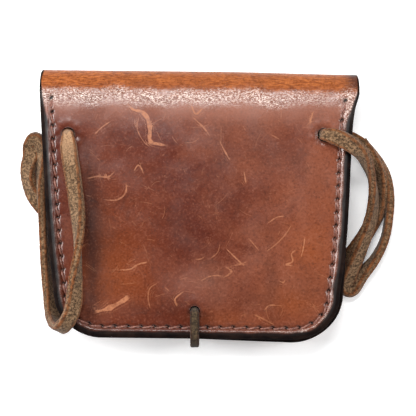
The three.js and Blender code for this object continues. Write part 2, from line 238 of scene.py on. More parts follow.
def soft_light(name, place, target, size, power):
    """A rectangular softbox at a place in metres, turned to a target."""
    light = bpy.data.lights.new(name, "AREA")
    light.shape = "RECTANGLE"
    light.size, light.size_y = size
    light.energy = power
    holder = show(name, light)
    holder.location = place
    x, y, z = np.subtract(target, place)
    holder.rotation_euler = (math.atan2(math.hypot(x, y), -z), 0, math.atan2(x, -y) + math.pi)


soft_light("key softbox", (-0.07, 0.27, 0.62), (0, 0.03, 0.02), (0.40, 0.09), 3.6)
soft_light("left window", (-0.62, 0.08, 0.44), (0, 0, 0.02), (0.26, 0.34), 4.6)
soft_light("right window", (0.50, 0.06, 0.46), (0, 0, 0.02), (0.16, 0.40), 1.8)


def white_studio():
    """White walls all round under a darker ceiling."""
    world = bpy.data.worlds.new("white studio")
    bpy.context.scene.world = world
    world.use_nodes = True
    tree = world.node_tree
    direction = add_node(tree, "ShaderNodeTexCoord", output="Generated")
    height = add_node(tree, "ShaderNodeSeparateXYZ", {0: direction}, "Z")
    strength = add_node(tree, "ShaderNodeMapRange", {
        "Value": height, "From Min": 0.42, "From Max": 0.80, "To Min": 0.72, "To Max": 0.02,
    }, interpolation_type="SMOOTHSTEP")
    feed(tree.nodes["Background"], {"Color": (0.97, 0.985, 1), "Strength": strength})


white_studio()

# ---- materials


class Finish:
    """A material's node tree, with a short call for each kind of node used here."""

    COLOUR_A, COLOUR_B, COLOUR_RESULT = 6, 7, 2  # the mixing node's sockets for colours

    def __init__(self, name):
        self.material = bpy.data.materials.new(name)
        self.material.use_nodes = True
        self.tree = self.material.node_tree
        self.place = self.node("ShaderNodeTexCoord", output="Object")

    def node(self, kind, inputs=None, output=0, **settings):
        return add_node(self.tree, kind, inputs, output, **settings)

    def channel(self, name):
        return self.node("ShaderNodeAttribute", output="Fac", attribute_name=name)

    def noise(self, size, detail, roughness=0.55, distortion=0.0, stretch=None):
        """Noise whose blotches are about as wide as size, in millimetres."""
        place = self.place
        if stretch:
            place = self.node("ShaderNodeMapping", {"Vector": place, "Scale": stretch})
        return self.node("ShaderNodeTexNoise", {
            "Vector": place, "Scale": 0.6 / (size * MM), "Detail": detail,
            "Roughness": roughness, "Distortion": distortion})

    def span(self, value, low, high, out_low=0.0, out_high=1.0):
        """out_low where the value is low, out_high where it is high, and eased between."""
        return self.node("ShaderNodeMapRange", {
            "Value": value, "From Min": low, "From Max": high,
            "To Min": out_low, "To Max": out_high}, interpolation_type="SMOOTHSTEP")

    def sum(self, a, b, operation="ADD"):
        return self.node("ShaderNodeMath", {0: a, 1: b}, operation=operation)

    def times(self, a, b):
        return self.sum(a, b, "MULTIPLY")

    def blend(self, a, b, amount):
        """Colour a turned towards colour b by an amount from 0 to 1."""
        return self.node("ShaderNodeMix", {"Factor": amount, self.COLOUR_A: a, self.COLOUR_B: b},
                         self.COLOUR_RESULT, data_type="RGBA", clamp_factor=True)

    def layers(self, colour, *layers):
        """A colour with others laid over it, each by its own amount."""
        for tone, amount in layers:
            colour = self.blend(colour, tone, amount)
        return colour

    def bump(self, height, distance, strength, under=None):
        return self.node("ShaderNodeBump", {"Height": height, "Distance": distance * MM,
                                            "Strength": strength, "Normal": under})

    def set(self, colour, roughness, shine, relief=None, **others):
        """Feeds the shader and gives the material."""
        feed(self.tree.nodes["Principled BSDF"], {
            "Base Color": colour, "Roughness": roughness, "Specular IOR Level": shine,
            "Normal": relief, **{key.replace("_", " "): value for key, value in others.items()}})
        return self.material


def saddle_leather_finish():
    """Waxed dark leather: its colour fields, marks and edges come from painted channels, among
    them painted highlight flecks, a painted sheen and painted shade.
    """
    f = Finish("waxed saddle leather")
    burnish, wall, flesh, glint_and_crackle = map(f.channel, ("burnish", "wall", "flesh", "glint_and_crackle"))
    clouds = f.noise(16, 4, 0.6, 0.6)
    mottle = f.noise(4.5, 5, 0.65, 0.8)
    grain = f.noise(0.50, 3, 0.65)
    streak = f.noise(1.1, 4, 0.7, 0.3, stretch=(0.28, 1.5, 1.5))
    fleck = f.noise(0.55, 4, 0.7, 0.4, stretch=(0.34, 1.5, 1.5))
    wrinkle = f.noise(0.33, 3, 0.7, 0.5, stretch=(0.7, 1.25, 1.25))

    # A worn mark shows where its middle line is nearer than half its width.
    away = f.sum(f.channel("mark_away"), 0.0, "ABSOLUTE")
    outside = f.sum(away, f.channel("mark_half_width"), "SUBTRACT")
    mark = f.times(f.span(outside, -0.05, 0.14, 1.0, 0.0), f.channel("mark"))
    mark = f.times(mark, f.span(f.noise(0.8, 4, 0.7), 0.30, 0.62, 0.35, 1.0))

    pale = f.sum(f.channel("pale"), f.span(clouds, 0.3, 0.7, -0.36, 0.36))
    dark = f.sum(f.channel("dark"), f.span(mottle, 0.48, 0.76, 0.0, 0.34))
    painted_glints = f.times(f.span(wrinkle, 0.47, 0.60, 0.0, 0.74), glint_and_crackle)
    between_glints = f.times(f.span(wrinkle, 0.36, 0.47, 0.80, 0.0), glint_and_crackle)
    fold = f.layers((0.19, 0.047, 0.013),
                    ((0.44, 0.132, 0.034), f.span(fleck, 0.38, 0.62)),
                    ((0.25, 0.072, 0.026), f.span(clouds, 0.35, 0.7, 0.0, 0.50)))
    edge = f.blend((0.006, 0.004, 0.004), (0.022, 0.012, 0.009), f.span(mottle, 0.35, 0.75))
    suede = f.blend((0.11, 0.055, 0.03), (0.19, 0.11, 0.065), f.noise(1.2, 5, 0.75))
    colour = f.layers(
        (0.092, 0.0155, 0.0068), ((0.196, 0.055, 0.027), pale),
        ((0.225, 0.052, 0.014), f.channel("warm")),
        (fold, f.channel("turn")),
        # Darker patches, rims and ends, among them the painted shadow of the left lace.
        ((0.042, 0.014, 0.010), dark),
        ((0.34, 0.135, 0.085), f.span(grain, 0.50, 0.76, 0.0, 0.29)),
        ((0.04, 0.010, 0.006), f.span(grain, 0.28, 0.50, 0.50, 0.0)),
        ((0.075, 0.020, 0.012), f.span(streak, 0.52, 0.8, 0.0, 0.34)),
        # A painted sheen, lightening the panel where a soft reflection falls.
        ((0.46, 0.205, 0.140), f.times(f.channel("painted_sheen"), 0.30)),
        # Painted highlight flecks over the crackled relief, and darker leather between them.
        ((0.92, 0.74, 0.64), painted_glints),
        ((0.13, 0.040, 0.022), between_glints),
        ((0.42, 0.150, 0.058), mark),
        (edge, burnish),
        # Painted shade in the awl cuts.
        ((0.006, 0.004, 0.003), f.channel("cut_shade")),
        (suede, flesh))

    roughness = f.span(f.noise(7, 4, 0.6), 0.3, 0.7, 0.22, 0.32)
    for amount, change in ((mark, 0.3), (flesh, 0.45), (wall, 0.30), (burnish, 0.16),
                           (glint_and_crackle, -0.05)):
        roughness = f.sum(roughness, f.times(amount, change))
    past_shine = f.sum(f.channel("past_shine"), f.span(wrinkle, 0.35, 0.65, 0.38, -0.38))
    shine = f.span(past_shine, 0.15, 0.85, 0.5, 0.08)
    shine = f.sum(shine, f.times(f.sum(wall, flesh, "MAXIMUM"), -0.42))
    shine = f.sum(f.sum(shine, f.times(burnish, -0.30)), 0.02, "MAXIMUM")
    shine = f.sum(shine, f.times(glint_and_crackle, 0.25))
    relief = f.bump(grain, 0.030, 0.6)
    relief = f.bump(wrinkle, 0.30, f.sum(f.times(glint_and_crackle, 0.80), 0.05), relief)
    relief = f.bump(f.noise(2.6, 3, 0.6), 0.16, 0.22, relief)
    return f.set(colour, roughness, shine, relief)


def hide_finish(name, face_dark, face_light, rust, top_pale=0.0):
    """Rough cut hide: speckled napped faces with rust-brown cut rims, paler where it lies high
    over the top of the pouch's back, and with painted shade below the pouch's bottom edge."""
    f = Finish(name)
    fibre = f.noise(0.55, 4, 0.8, 0.2)
    patch = f.noise(5.0, 3, 0.6)
    speck = f.noise(0.42, 3, 0.7)
    y, z = (f.node("ShaderNodeSeparateXYZ", {0: f.place}, axis) for axis in "YZ")
    top = f.times(f.span(y, 14 * MM, 26 * MM), f.span(z, 18 * MM, 22 * MM))
    scorched = f.span(f.noise(0.9, 4, 0.8), 0.40, 0.62)
    edge = f.blend(rust, tuple(0.20 * c for c in rust), scorched)
    rim = f.times(f.span(f.channel("rim"), 0.14, 0.50), f.span(patch, 0.30, 0.60, 1.0, 0.75))
    colour = f.layers(
        face_dark, (face_light, f.span(fibre, 0.40, 0.62)),
        (face_dark, f.span(patch, 0.45, 0.75, 0.0, 0.40)),
        # Paler where the strip lies high over the top of the back.
        ((0.62, 0.36, 0.20), f.times(top, top_pale)),
        ((0.022, 0.012, 0.006), f.span(speck, 0.50, 0.66, 0.0, 0.50)),
        # Painted shade where the strips turn down past the pouch's bottom edge.
        ((0.012, 0.007, 0.004), f.span(y, -53 * MM, -48 * MM, 0.60, 0.0)),
        (edge, rim))
    nap = f.bump(speck, 0.3, 0.4, f.bump(fibre, 0.20, 0.75))
    return f.set(colour, 0.88, 0.2, nap, Sheen_Weight=0.1, Sheen_Roughness=0.5)


def thread_finish():
    f = Finish("waxed linen thread")
    twist = f.noise(0.5, 3, 0.6)
    colour = f.blend((0.070, 0.024, 0.016), (0.25, 0.100, 0.070), f.span(twist, 0.3, 0.62))
    return f.set(colour, 0.5, 0.5, f.bump(twist, 0.12, 0.7))


def brass_finish():
    f = Finish("dulled brass")
    tarnish = f.noise(1.5, 4, 0.65)
    colour = f.blend((0.50, 0.33, 0.13), (0.20, 0.12, 0.05), f.span(tarnish, 0.45, 0.8))
    return f.set(colour, f.span(tarnish, 0.3, 0.7, 0.28, 0.5), None,
                 f.bump(f.noise(0.4, 2), 0.02, 0.4), Metallic=1.0)


def floor_finish():
    """A floor so pale that shadows on it stay faint to the camera."""
    f = Finish("pale floor")
    seen = f.node("ShaderNodeLightPath", output="Is Camera Ray")
    return f.set((0.93, 0.93, 0.93), 0.9, 0.1, Emission_Color=(1.0, 1.0, 1.0),
                 Emission_Strength=f.times(seen, 0.32))


SADDLE_LEATHER = saddle_leather_finish()
HIDES = {
    "lace_left": hide_finish("rough left lace hide", (0.055, 0.029, 0.013),
                             (0.31, 0.182, 0.096), (0.21, 0.070, 0.021), top_pale=0.40),
    "lace_right": hide_finish("rough right lace hide", (0.052, 0.027, 0.012),
                              (0.30, 0.172, 0.090), (0.23, 0.078, 0.024)),
    "closing_thong": hide_finish("rough thong hide", (0.020, 0.012, 0.006),
                                 (0.100, 0.064, 0.033), (0.045, 0.017, 0.008)),
}
THREAD = thread_finish()
BRASS = brass_finish()

FLOOR_HALF = 2000.0
FLOOR_LEVEL = -0.1  # just clear of the flap's flat face, which would show through it
floor_corners = [(FLOOR_HALF * a, FLOOR_HALF * b, FLOOR_LEVEL)
                 for a, b in ((-1, -1), (1, -1), (1, 1), (-1, 1))]
floor_mesh = make_mesh("floor", floor_corners, [(0, 1, 2, 3)])
floor_mesh.materials.append(floor_finish())
floor = show("floor", floor_mesh)

# ---- laces and thong

# The centre lines from the knot inside the pouch to the free end: x, y, z, tilt, wide, thick.
# Tilt turns the wide side about the direction of travel: 0 lies level, 90 stands on edge.
LEFT_LACE = [
    (-39.5, 33, 14.4, 0, 6, 3), (-44, 31, 15.7, 0, 5.6, 2.8), (-48, 29.5, 15.9, 0, 4.6, 2.6),
    (-50.6, 28.7, 17.2, 0, 4.1, 3.1), (-51.2, 28.4, 20.4, 0, 4, 3.1),
    (-51, 27.3, 23.1, 0, 4.8, 3), (-50.8, 24.4, 23.7, 4), (-50.2, 19, 23.4, 10),
    (-49.1, 12.5, 24, 18), (-47.8, 3.5, 24.7, 30), (-46.9, -4.2, 25.4, 50),
    (-46.7, -12, 25.8, 72), (-47.1, -18.5, 25.9, 90), (-47.7, -25.1, 25.7, 112),
    (-48.1, -31.6, 25.3, 134), (-48.7, -37.6, 24.8, 150), (-50, -42.2, 25, 153),
    (-53.2, -46.5, 23.1, 138), (-56, -46.8, 16.6, 92), (-57.8, -44.2, 10.4, 52),
    (-58.8, -39.8, 7.4, 46), (-59.9, -32.6, 7, 62), (-61, -24, 6.6, 74),
    (-62, -12, 6.6, 84), (-62.8, -1.2, 6.8, 94), (-63.6, 8.5, 5.4, 108),
    (-63.2, 17.2, 3.9, 122), (-63.6, 24, 4, 142), (-65.8, 26.9, 4, 160), (-67.6, 24.8, 2.8, 176),
    (-67.8, 20.4, 2.3, 184), (-68.8, 14.6, 3.2, 215), (-68.2, 9.2, 3.5, 228), (-66, 4, 2.7, 208),
    (-62.4, -0.6, 1.8, 184), (-57.6, -5.4, 1.7, 180),
]
RIGHT_LACE = [
    (36.5, 28.3, 14.4, 0, 6, 3), (41.5, 28.3, 15.7, 0, 5.6, 2.8), (45.4, 28.2, 15.9, 0, 4.6, 2.6),
    (47.9, 28.1, 17.2, 0, 4.1, 3.1), (48.5, 28.1, 20.4, 0, 4, 3.1), (49.6, 27.9, 23.1, 0, 4.8, 3),
    (52, 27.4, 23.7, 4), (55.4, 26.1, 23.6, 14), (58.8, 24.2, 24.8, 30), (62.6, 21, 23.2, 52),
    (65.6, 16.4, 17.4, 76), (67.8, 11, 12.6, 95), (68.9, 3.6, 9.2, 112), (68.2, -4.4, 7.8, 126),
    (62.8, -19.5, 6.5, 142), (59.8, -26.9, 5.6, 146), (58.6, -32, 4.3, 150),
    (60.4, -33, 3.2, 146), (64.8, -27.2, 3.6, 124), (70, -21, 3.4, 102), (74, -13, 3.5, 92),
    (75.7, -3.5, 3.6, 92), (75.6, 4.8, 3.6, 102), (73.6, 11.8, 3.6, 130),
    (70.2, 18.2, 2.5, 166), (64.6, 24.8, 1.7, 180), (58.4, 27.4, 1.7, 180),
    (53.2, 25, 1.7, 180), (51.4, 15, 1.7, 180), (51.6, -20.4, 1.7, 180),
    (54.4, -25.2, 1.7, 180), (58.6, -21.4, 1.7, 180), (63.4, -15.8, 1.7, 180),
    (67.6, -9.2, 1.9, 176), (71, -2.4, 3.1, 150), (72.8, 4.4, 3.8, 116),
    (72.4, 10, 4.8, 124), (70.2, 16, 5.8, 146), (67, 21.4, 5.7, 160), (63.8, 25.6, 5.5, 166),
]
# The thong runs straight over the edge: y, z, wide, thick.
THONG_ROUTE = [
    (-32.7, 15, 3, 2.2), (-37.3, 15.2, 3.4, 2.4), (-39.9, 17.4, 3, 2.8), (-40.5, 20.4, 2.9, 2.4),
    (-42.3, 23.2), (-46, 22.6), (-50.8, 22.9), (-53.2, 20.9), (-53.6, 16), (-53.5, 11),
    (-53.2, 8.4), (-51.4, 7.2), (-49.8, 6.9, 5.6, 2.2), (-47.6, 6, 7.8, 2.2),
    (-45.4, 4.8, 7.2, 2.2), (-43.6, 3.7, 3.4, 2),
]
THONG = [(STUD_PLACE[0], y, z, 0, *size) for y, z, *size in THONG_ROUTE]


RIM_AT_CORNER = (0.9, 1.0, 0.55)  # from a corner's edge side to its face side
RIM_ON_EDGE = ((0.45, 0.35), (0.0, 0.15), (-0.45, 0.35))  # share of the edge, rim
FACE_SHARES = (0.68, 0.34, 0.0, -0.34, -0.68)


def strip_section(half_wide, half_thick):
    """A flat strip's rounded section: offsets along its wide and thick sides, and how much
    the rust-brown rim shows at each point."""
    corner = 0.32 * half_thick + 0.12
    wide, thick = half_wide - corner, half_thick - corner
    points = []
    for turn, (side_w, side_t) in enumerate(((1, 1), (-1, 1), (-1, -1), (1, -1))):
        rims = RIM_AT_CORNER if turn % 2 == 0 else RIM_AT_CORNER[::-1]
        for step, rim in enumerate(rims):
            angle = (turn + step / 2) * math.pi / 2
            points.append((side_w * wide + corner * math.cos(angle),
                           side_t * thick + corner * math.sin(angle), rim))
        if turn % 2 == 0:
            points += [(side_w * share * wide, side_t * half_thick, 0.0) for share in FACE_SHARES]
        else:
            points += [(side_w * half_wide, side_t * share * half_thick, rim)
                       for share, rim in RIM_ON_EDGE]
    return np.array(points)


STRIP_STEP = 0.45  # from one ring of a strip to the next
STRIP_EASE = 11  # over how many rings the table's values are eased
NAP = 0.035  # how far the rough hide's points stray


def lay_strip(node, table, width, thickness, knot, seed):
    """A cut strip along a route, with a stopper knot at its start. Gives the piece, its
    ring centres and its length in millimetres."""
    rows = np.array([list(row) + [width, thickness][len(row) - 4:] for row in table], float)
    fine_t = np.linspace(0, 1, 40 * len(rows))
    run = travelled(smooth_route(rows[:, :3], fine_t))
    count = int(run[-1] / STRIP_STEP)
    t = np.interp(np.linspace(0, run[-1], count), run, fine_t)
    centre = smooth_route(rows[:, :3], t)
    travel = unit(np.gradient(centre, axis=0))
    level = unit(np.cross((0, 0, 1), travel))
    upright = np.cross(travel, level)

    kernel = np.hanning(STRIP_EASE) / np.hanning(STRIP_EASE).sum()
    row_at = t * (len(rows) - 1)
    tilt, wide, thick = (
        np.convolve(np.pad(np.interp(row_at, np.arange(len(rows)), rows[:, k]), STRIP_EASE // 2,
                           mode="edge"), kernel, mode="valid") for k in (3, 4, 5))
    tilt = np.radians(tilt)[:, None]
    across = level * np.cos(tilt) + upright * np.sin(tilt)
    through = upright * np.cos(tilt) - level * np.sin(tilt)

    along = np.arange(count) * STRIP_STEP
    hand_cut = (1 + 0.028 * ripples(along, 0 * along, 17, seed)
                + 0.012 * ripples(along, 0 * along, 4, seed + 1))
    section = [strip_section(w / 2, h / 2) for w, h in zip(wide * hand_cut, thick)]
    rings = np.array([c + np.outer(s[:, 0], a) + np.outer(s[:, 1], b)
                      for c, a, b, s in zip(centre, across, through, section)])
    rings += np.random.default_rng(seed).normal(0, NAP, rings.shape)
    rings[:, :, 2] = np.maximum(rings[:, :, 2], 0)
    points = rings.reshape(-1, 3)
    knot_points, knot_faces = stopper_knot(centre[0], *knot)
    faces = tube_faces(count, rings.shape[1])
    faces += [[i + len(points) for i in face] for face in knot_faces]
    rim = np.r_[np.tile(section[0][:, 2], count), np.zeros(len(knot_points))]
    piece = make_piece(node + "_hide", np.vstack([points, knot_points]), faces, HIDES[node],
                       {"rim": rim})
    return piece, centre, run[-1]


def stopper_knot(place, radius, half_height):
    """An overhand knot pulled tight, as one lump with the turns standing out."""
    rings, around = 13, 28
    circle = circle_points(around)
    angles = np.linspace(0, math.tau, around, endpoint=False)
    points = []
    for latitude in np.linspace(-math.pi / 2, math.pi / 2, rings + 2)[1:-1]:
        swell = 1 - 0.10 * (0.5 + 0.5 * np.cos(3 * angles + 2.2 * latitude)) ** 2
        points.append(np.c_[radius * math.cos(latitude) * swell[:, None] * circle,
                            np.full(around, half_height * math.sin(latitude))])
    faces = ring_faces(rings, around)
    low, high, top = rings * around, rings * around + 1, (rings - 1) * around
    for i in range(around):
        j = (i + 1) % around
        faces += [(low, j, i), (high, top + i, top + j)]
    return np.vstack([*points, (0, 0, -half_height), (0, 0, half_height)]) + place, faces


LACE_KNOT = (4.6, 3.0)  # radius, half height
THONG_KNOT = (3.0, 2.4)


def add_lace(node, table, seed):
    piece, centre, length = lay_strip(node, table, LACE_WIDTH, LACE_THICKNESS, LACE_KNOT, seed)
    declare(piece, node)


add_lace("lace_left", LEFT_LACE, 11)
add_lace("lace_right", RIGHT_LACE, 23)

# ---- shape of the pouch


def along_table(table, y, column):
    """A smooth curve through one column of a table whose first column falls."""
    y = np.asarray(y, float)
    last = len(table) - 1
    i = np.clip(np.searchsorted(-table[:, 0], -y, side="right") - 1, 0, last - 1)
    before, after = np.maximum(i - 1, 0), np.minimum(i + 2, last)
    ya, yb = table[i, 0], table[i + 1, 0]
    a, b = table[i, column], table[i + 1, column]
    slope_a = (b - table[before, column]) / (yb - table[before, 0])
    slope_b = (table[after, column] - a) / (table[after, 0] - ya)
    t = np.clip((y - ya) / (yb - ya), 0, 1)
    return (a * (2 * t**3 - 3 * t**2 + 1) + b * (3 * t**2 - 2 * t**3)
            + (yb - ya) * (slope_a * (t**3 - 2 * t**2 + t) + slope_b * (t**3 - t**2)))


# The fold's half ellipse: its angle at each length round it.
FOLD_ANGLE = np.linspace(0, math.pi, 400)
FOLD_RUN = travelled(np.c_[FOLD_REACH * np.sin(FOLD_ANGLE), FOLD_HALF_DEPTH * np.cos(FOLD_ANGLE)])
FLAP_START = FOLD_START + FOLD_RUN[-1]  # on the leather laid flat
FLAP_DROP = DEPTH - 2 * FOLD_HALF_DEPTH  # from the flap's edge at the fold to its flat middle


def lean_at(y):
    return FLAP_DROP * smoothstep(y, MOUTH_SLOPE_START, FOLD_START)


def turned_over(along):
    """From a height on the flap to its place on the leather laid flat, or back again."""
    return FLAP_START + FOLD_START - along


def edge_at(y, side, past=None):
    column, outward = (1, -1) if side == "left" else (2, 1)
    x = along_table(EDGE, y, column)
    return x if past is None else x + outward * along_table(past, y, column)


def flap_height(x, y):
    """The flap's outer face: flat in the middle, rising to its free edges."""
    left, right = (edge_at(np.maximum(y, CORNER_START), side, FLAP_PAST) for side in SIDES)
    share = (x - left) / (right - left)
    low = FLAP_CORNERS["low_left"] + (FLAP_CORNERS["low_right"] - FLAP_CORNERS["low_left"]) * share
    side = np.maximum(0, 1 - np.minimum(x - left, right - x) / FLAP_FOOT)
    bottom = np.maximum(0, 1 - (y - low) / FLAP_FOOT)
    rise = FLAP_EDGE_RISE * smoothstep(np.hypot(side, bottom), 0, 1)
    return lean_at(y) + rise * (1 - lean_at(y) / FLAP_DROP)


def outer_face(x, s):
    """The pouch's outer leather face, from a place on the leather laid flat."""
    x, s = np.broadcast_arrays(np.asarray(x, float), np.asarray(s, float))
    angle = np.interp(s - FOLD_START, FOLD_RUN, FOLD_ANGLE)
    reach = FOLD_REACH + FOLD_SLACK * (1 - smoothstep(x, 10, 60))
    y = np.where(s <= FOLD_START, s, FOLD_START + reach * np.sin(angle))
    z = np.where(s <= FOLD_START, DEPTH, DEPTH - FOLD_HALF_DEPTH * (1 - np.cos(angle)))
    on_flap = s >= FLAP_START
    y = np.where(on_flap, turned_over(s), y)
    z = np.where(on_flap, flap_height(x, y), z)
    return np.stack([x, y - SLANT * x, z], axis=-1)


def side_run(side, top, corners, past=None):
    """One side of an outline, from a height down to the bottom edge."""
    y = np.arange(top, CORNER_START, -0.1)
    start = float(edge_at(CORNER_START, side, past))
    angle = np.linspace(0, math.pi / 2, 280)
    corner = np.c_[corners[side] + (start - corners[side]) * np.cos(angle),
                   CORNER_START + (corners["low_" + side] - CORNER_START) * np.sin(angle)]
    return np.vstack([np.c_[edge_at(y, side, past), y], corner])


def spaced(run, spacing):
    """Points at an even spacing on a run, without its last point."""
    run = np.asarray(run, float)
    length = travelled(run)
    places = np.linspace(0, length[-1], max(2, round(length[-1] / spacing) + 1))[:-1]
    return np.c_[np.interp(places, length, run[:, 0]), np.interp(places, length, run[:, 1])]


class Outline:
    """A closed outline that runs anticlockwise, with the inward direction at each point."""

    def __init__(self, runs):
        self.points = np.vstack([spaced(run, step) for run, step in runs])
        ahead = unit(np.roll(self.points, -2, axis=0) - np.roll(self.points, 2, axis=0))
        self.inward = np.c_[-ahead[:, 1], ahead[:, 0]]

    def inset(self, distance):
        """The outline moved inwards, by one distance or by one for each point."""
        return self.points + self.inward * np.broadcast_to(distance, len(self.points))[:, None]


NO_AREA = 1e-7  # of a triangle whose corners lie in one line, in square millimetres
UNDER, FACE, WALL = 0, 1, 2  # which side of the leather a point is on
INSIDE = 50.0  # the inset of points off the rings, until it is measured
ROW_STEP = 0.866  # from row to row of even triangles, for sides of one
ROWS_FROM = -50  # the lowest row of both sheets
HOLE_SHRINK = 0.985  # how much narrower a hole's wall is than its rims
HOLE_STEPS = (0.14, 0.4, 0.7, 0.92)  # the wall's rings, as shares of the thickness
# The face's rings round a hole, and where the rows start, in the hole's radius.
HOLE_RINGS = {FACE: (1.07, 1.17, 1.32), UNDER: ()}
HOLE_CLEAR = {FACE: 1.42, UNDER: 1.15}


def signed_area(corners):
    """Twice the area of flat triangles, positive where they run anticlockwise."""
    a, b, c = corners[:, 0], corners[:, 1], corners[:, 2]
    return (b[:, 0] - a[:, 0]) * (c[:, 1] - a[:, 1]) - (b[:, 1] - a[:, 1]) * (c[:, 0] - a[:, 0])


class Sheet:
    """A leather sheet of even thickness on a surface. Its edge is rounded by a profile of
    (inset, depth, side) rings that go from the under side, round the edge, to the face.
    Each hole is its x, its place along the sheet, its radius and how many points it has."""

    def __init__(self, outline, rings, thickness, rows, holes=()):
        self.thickness = thickness
        self.flat, self.depth, self.inset = np.empty((0, 2)), np.empty(0), np.empty(0)
        self.index, self.side = np.empty(0, int), np.empty(0, int)
        around = np.arange(len(outline.points))
        loops = [self.add(outline.inset(inset), depth, side, inset, around)
                 for inset, depth, side in rings]
        self.faces = ring_faces(len(rings), len(around))
        tops = self.fill(loops[-1], FACE, rows[FACE], holes)
        lows = self.fill(loops[0], UNDER, rows[UNDER], holes)
        for hole, top, low in zip(holes, tops, lows):
            self.hole_wall(*hole, top, low)
        self.measure_inside(outline.points)

    def add(self, flat, depth, side, inset=INSIDE, index=0):
        """Adds points, and gives their numbers."""
        start, n = len(self.flat), len(flat)
        self.flat = np.vstack([self.flat, flat])
        self.depth = np.r_[self.depth, np.broadcast_to(depth, n)]
        self.inset = np.r_[self.inset, np.broadcast_to(inset, n)]
        self.index = np.r_[self.index, np.broadcast_to(index, n)]
        self.side = np.r_[self.side, np.full(n, side)]
        return np.arange(start, start + n)

    def measure_inside(self, outline):
        """The distance from the outline, and its nearest point, for points off the rings."""
        tree = KDTree(len(outline))
        for i, (x, s) in enumerate(outline):
            tree.insert((x, s, 0), i)
        tree.balance()
        for i in np.where(self.inset == INSIDE)[0]:
            _, self.index[i], self.inset[i] = tree.find((*self.flat[i], 0))

    def fill(self, border, side, rows, holes):
        """Fills one side inside its last ring, with points on staggered rows."""
        depth = 0.0 if side == FACE else self.thickness
        grid = staggered_rows(self.flat[border], rows)
        rims, inner = [], []
        for x, s, radius, n in holes:
            circle = radius * circle_points(n)
            rims.append(self.add((x, s) + circle, depth, side))
            inner += [self.add((x, s) + share * circle, depth, side) for share in HOLE_RINGS[side]]
            away = np.hypot(grid[:, 0] - x, grid[:, 1] - s)
            grid = grid[away > radius * HOLE_CLEAR[side]]
        used = np.concatenate([border, *rims, *inner, self.add(grid, depth, side)])
        edges, start = [], 0
        owner = np.full(len(used), -1)
        for loop_number, loop in enumerate((border, *rims)):
            n = len(loop)
            edges += [(start + i, start + (i + 1) % n) for i in range(n)]
            owner[start:start + n] = loop_number
            start += n
        result = delaunay_2d_cdt([tuple(p) for p in self.flat[used]], edges, [], 1, 1e-6, True)
        source = np.array([ids[0] for ids in result[3]])
        local = np.sort(source[np.array(result[2])], axis=1)
        turn = signed_area(self.flat[used[local]])
        # A triangle with three points of one loop lies in a hole, or outside the border
        # if it turns the other way round.
        loop_number = owner[local[:, 0]]
        one_loop = (loop_number >= 0) & (owner[local] == loop_number[:, None]).all(axis=1)
        triangles = used[local[~(one_loop & ((loop_number > 0) | (turn < NO_AREA)))]]
        flip = (signed_area(self.flat[triangles]) < 0) == (side == FACE)
        triangles[flip] = triangles[flip][:, ::-1]
        self.faces += list(triangles)
        return rims

    def hole_wall(self, x, s, radius, n, top, low):
        """The round wall between a hole's two rims."""
        circle = (x, s) + radius * HOLE_SHRINK * circle_points(n)
        inner = [self.add(circle, share * self.thickness, FACE) for share in HOLE_STEPS]
        for upper, lower in zip([top, *inner], [*inner, low]):
            self.faces += list(np.stack([upper, lower, np.roll(lower, -1), np.roll(upper, -1)],
                                        axis=1))


def staggered_rows(loop, zones):
    """Points inside a loop on rows, offset by half a step from row to row. Each zone is
    (lowest row, highest row, spacing)."""
    loop = np.roll(loop, -int(np.argmin(loop[:, 1])), axis=0)
    high = int(np.argmax(loop[:, 1]))
    sides = loop[:high + 1], np.vstack([loop[high:], loop[:1]])[::-1]
    points = []
    for bottom, top, step in zones:
        for k, s in enumerate(np.arange(bottom, top, step * ROW_STEP)):
            ends = [np.interp(s, side[:, 1], side[:, 0]) for side in sides]
            row = np.arange(-200 + (k % 2) * 0.5, 200) * step
            row = row[(row > min(ends) + 0.5 * step) & (row < max(ends) - 0.5 * step)]
            points.append(np.c_[row, np.full(len(row), s)])
    return np.vstack(points)


def facing(surface, x, s, step=0.04):
    """The unit direction out of a surface."""
    across = surface(x + step, s) - surface(x - step, s)
    up = surface(x, s + step) - surface(x, s - step)
    return unit(np.cross(across, up))


def quarter_drop(inset, bevel):
    """1 at the edge and 0 from the bevel inwards, on a quarter ellipse."""
    t = np.clip(1 - inset / bevel, 0, 1)
    return 1 - np.sqrt(1 - t**2)


def edge_rings(thickness, under, wall, face):
    """A sheet's rounded edge. Its under side and its face are given as (insets, bevel, drop),
    the wall between them as (shares of its height, how far it stands out)."""
    under_insets, under_bevel, under_drop = under
    face_insets, bevel, drop = face
    low, (shares, bulge) = thickness - under_drop, wall
    return [
        *((inset, thickness - under_drop * quarter_drop(inset, under_bevel), UNDER)
          for inset in under_insets),
        *((-bulge * math.sin(math.pi * share), low + (drop - low) * share, WALL)
          for share in shares),
        *((inset, drop * quarter_drop(inset, bevel), FACE) for inset in face_insets),
    ]


# ---- seam

EDGE_STEP, TURN_STEP, FREE_STEP = 0.42, 0.8, 1.3  # between the outline's points


def back_outline():
    """The outline of the one piece that makes the back panel, the fold and the flap, on the
    leather laid flat: up the right side from the bottom edge, and down the left."""
    back = {side: side_run(side, FOLD_START, BACK_CORNERS) for side in SIDES}
    flap = {side: side_run(side, FOLD_START, FLAP_CORNERS, FLAP_PAST) for side in SIDES}
    for run in flap.values():
        run[:, 1] = turned_over(run[:, 1])
    fold = {side: [(back[side][0, 0], FOLD_START), (flap[side][0, 0], FLAP_START)]
            for side in SIDES}
    low = np.linspace(flap["right"][-1], flap["left"][-1], 60)
    low[:, 1] += FLAP_BOW * np.sin(np.linspace(0, math.pi, 60))
    return Outline([
        ([back["left"][-1], back["right"][-1]], EDGE_STEP), (back["right"][::-1], EDGE_STEP),
        (fold["right"], TURN_STEP), (flap["right"], FREE_STEP), (low, FREE_STEP),
        (flap["left"][::-1], FREE_STEP), (fold["left"][::-1], TURN_STEP),
        (back["left"], EDGE_STEP)])


BACK = back_outline()


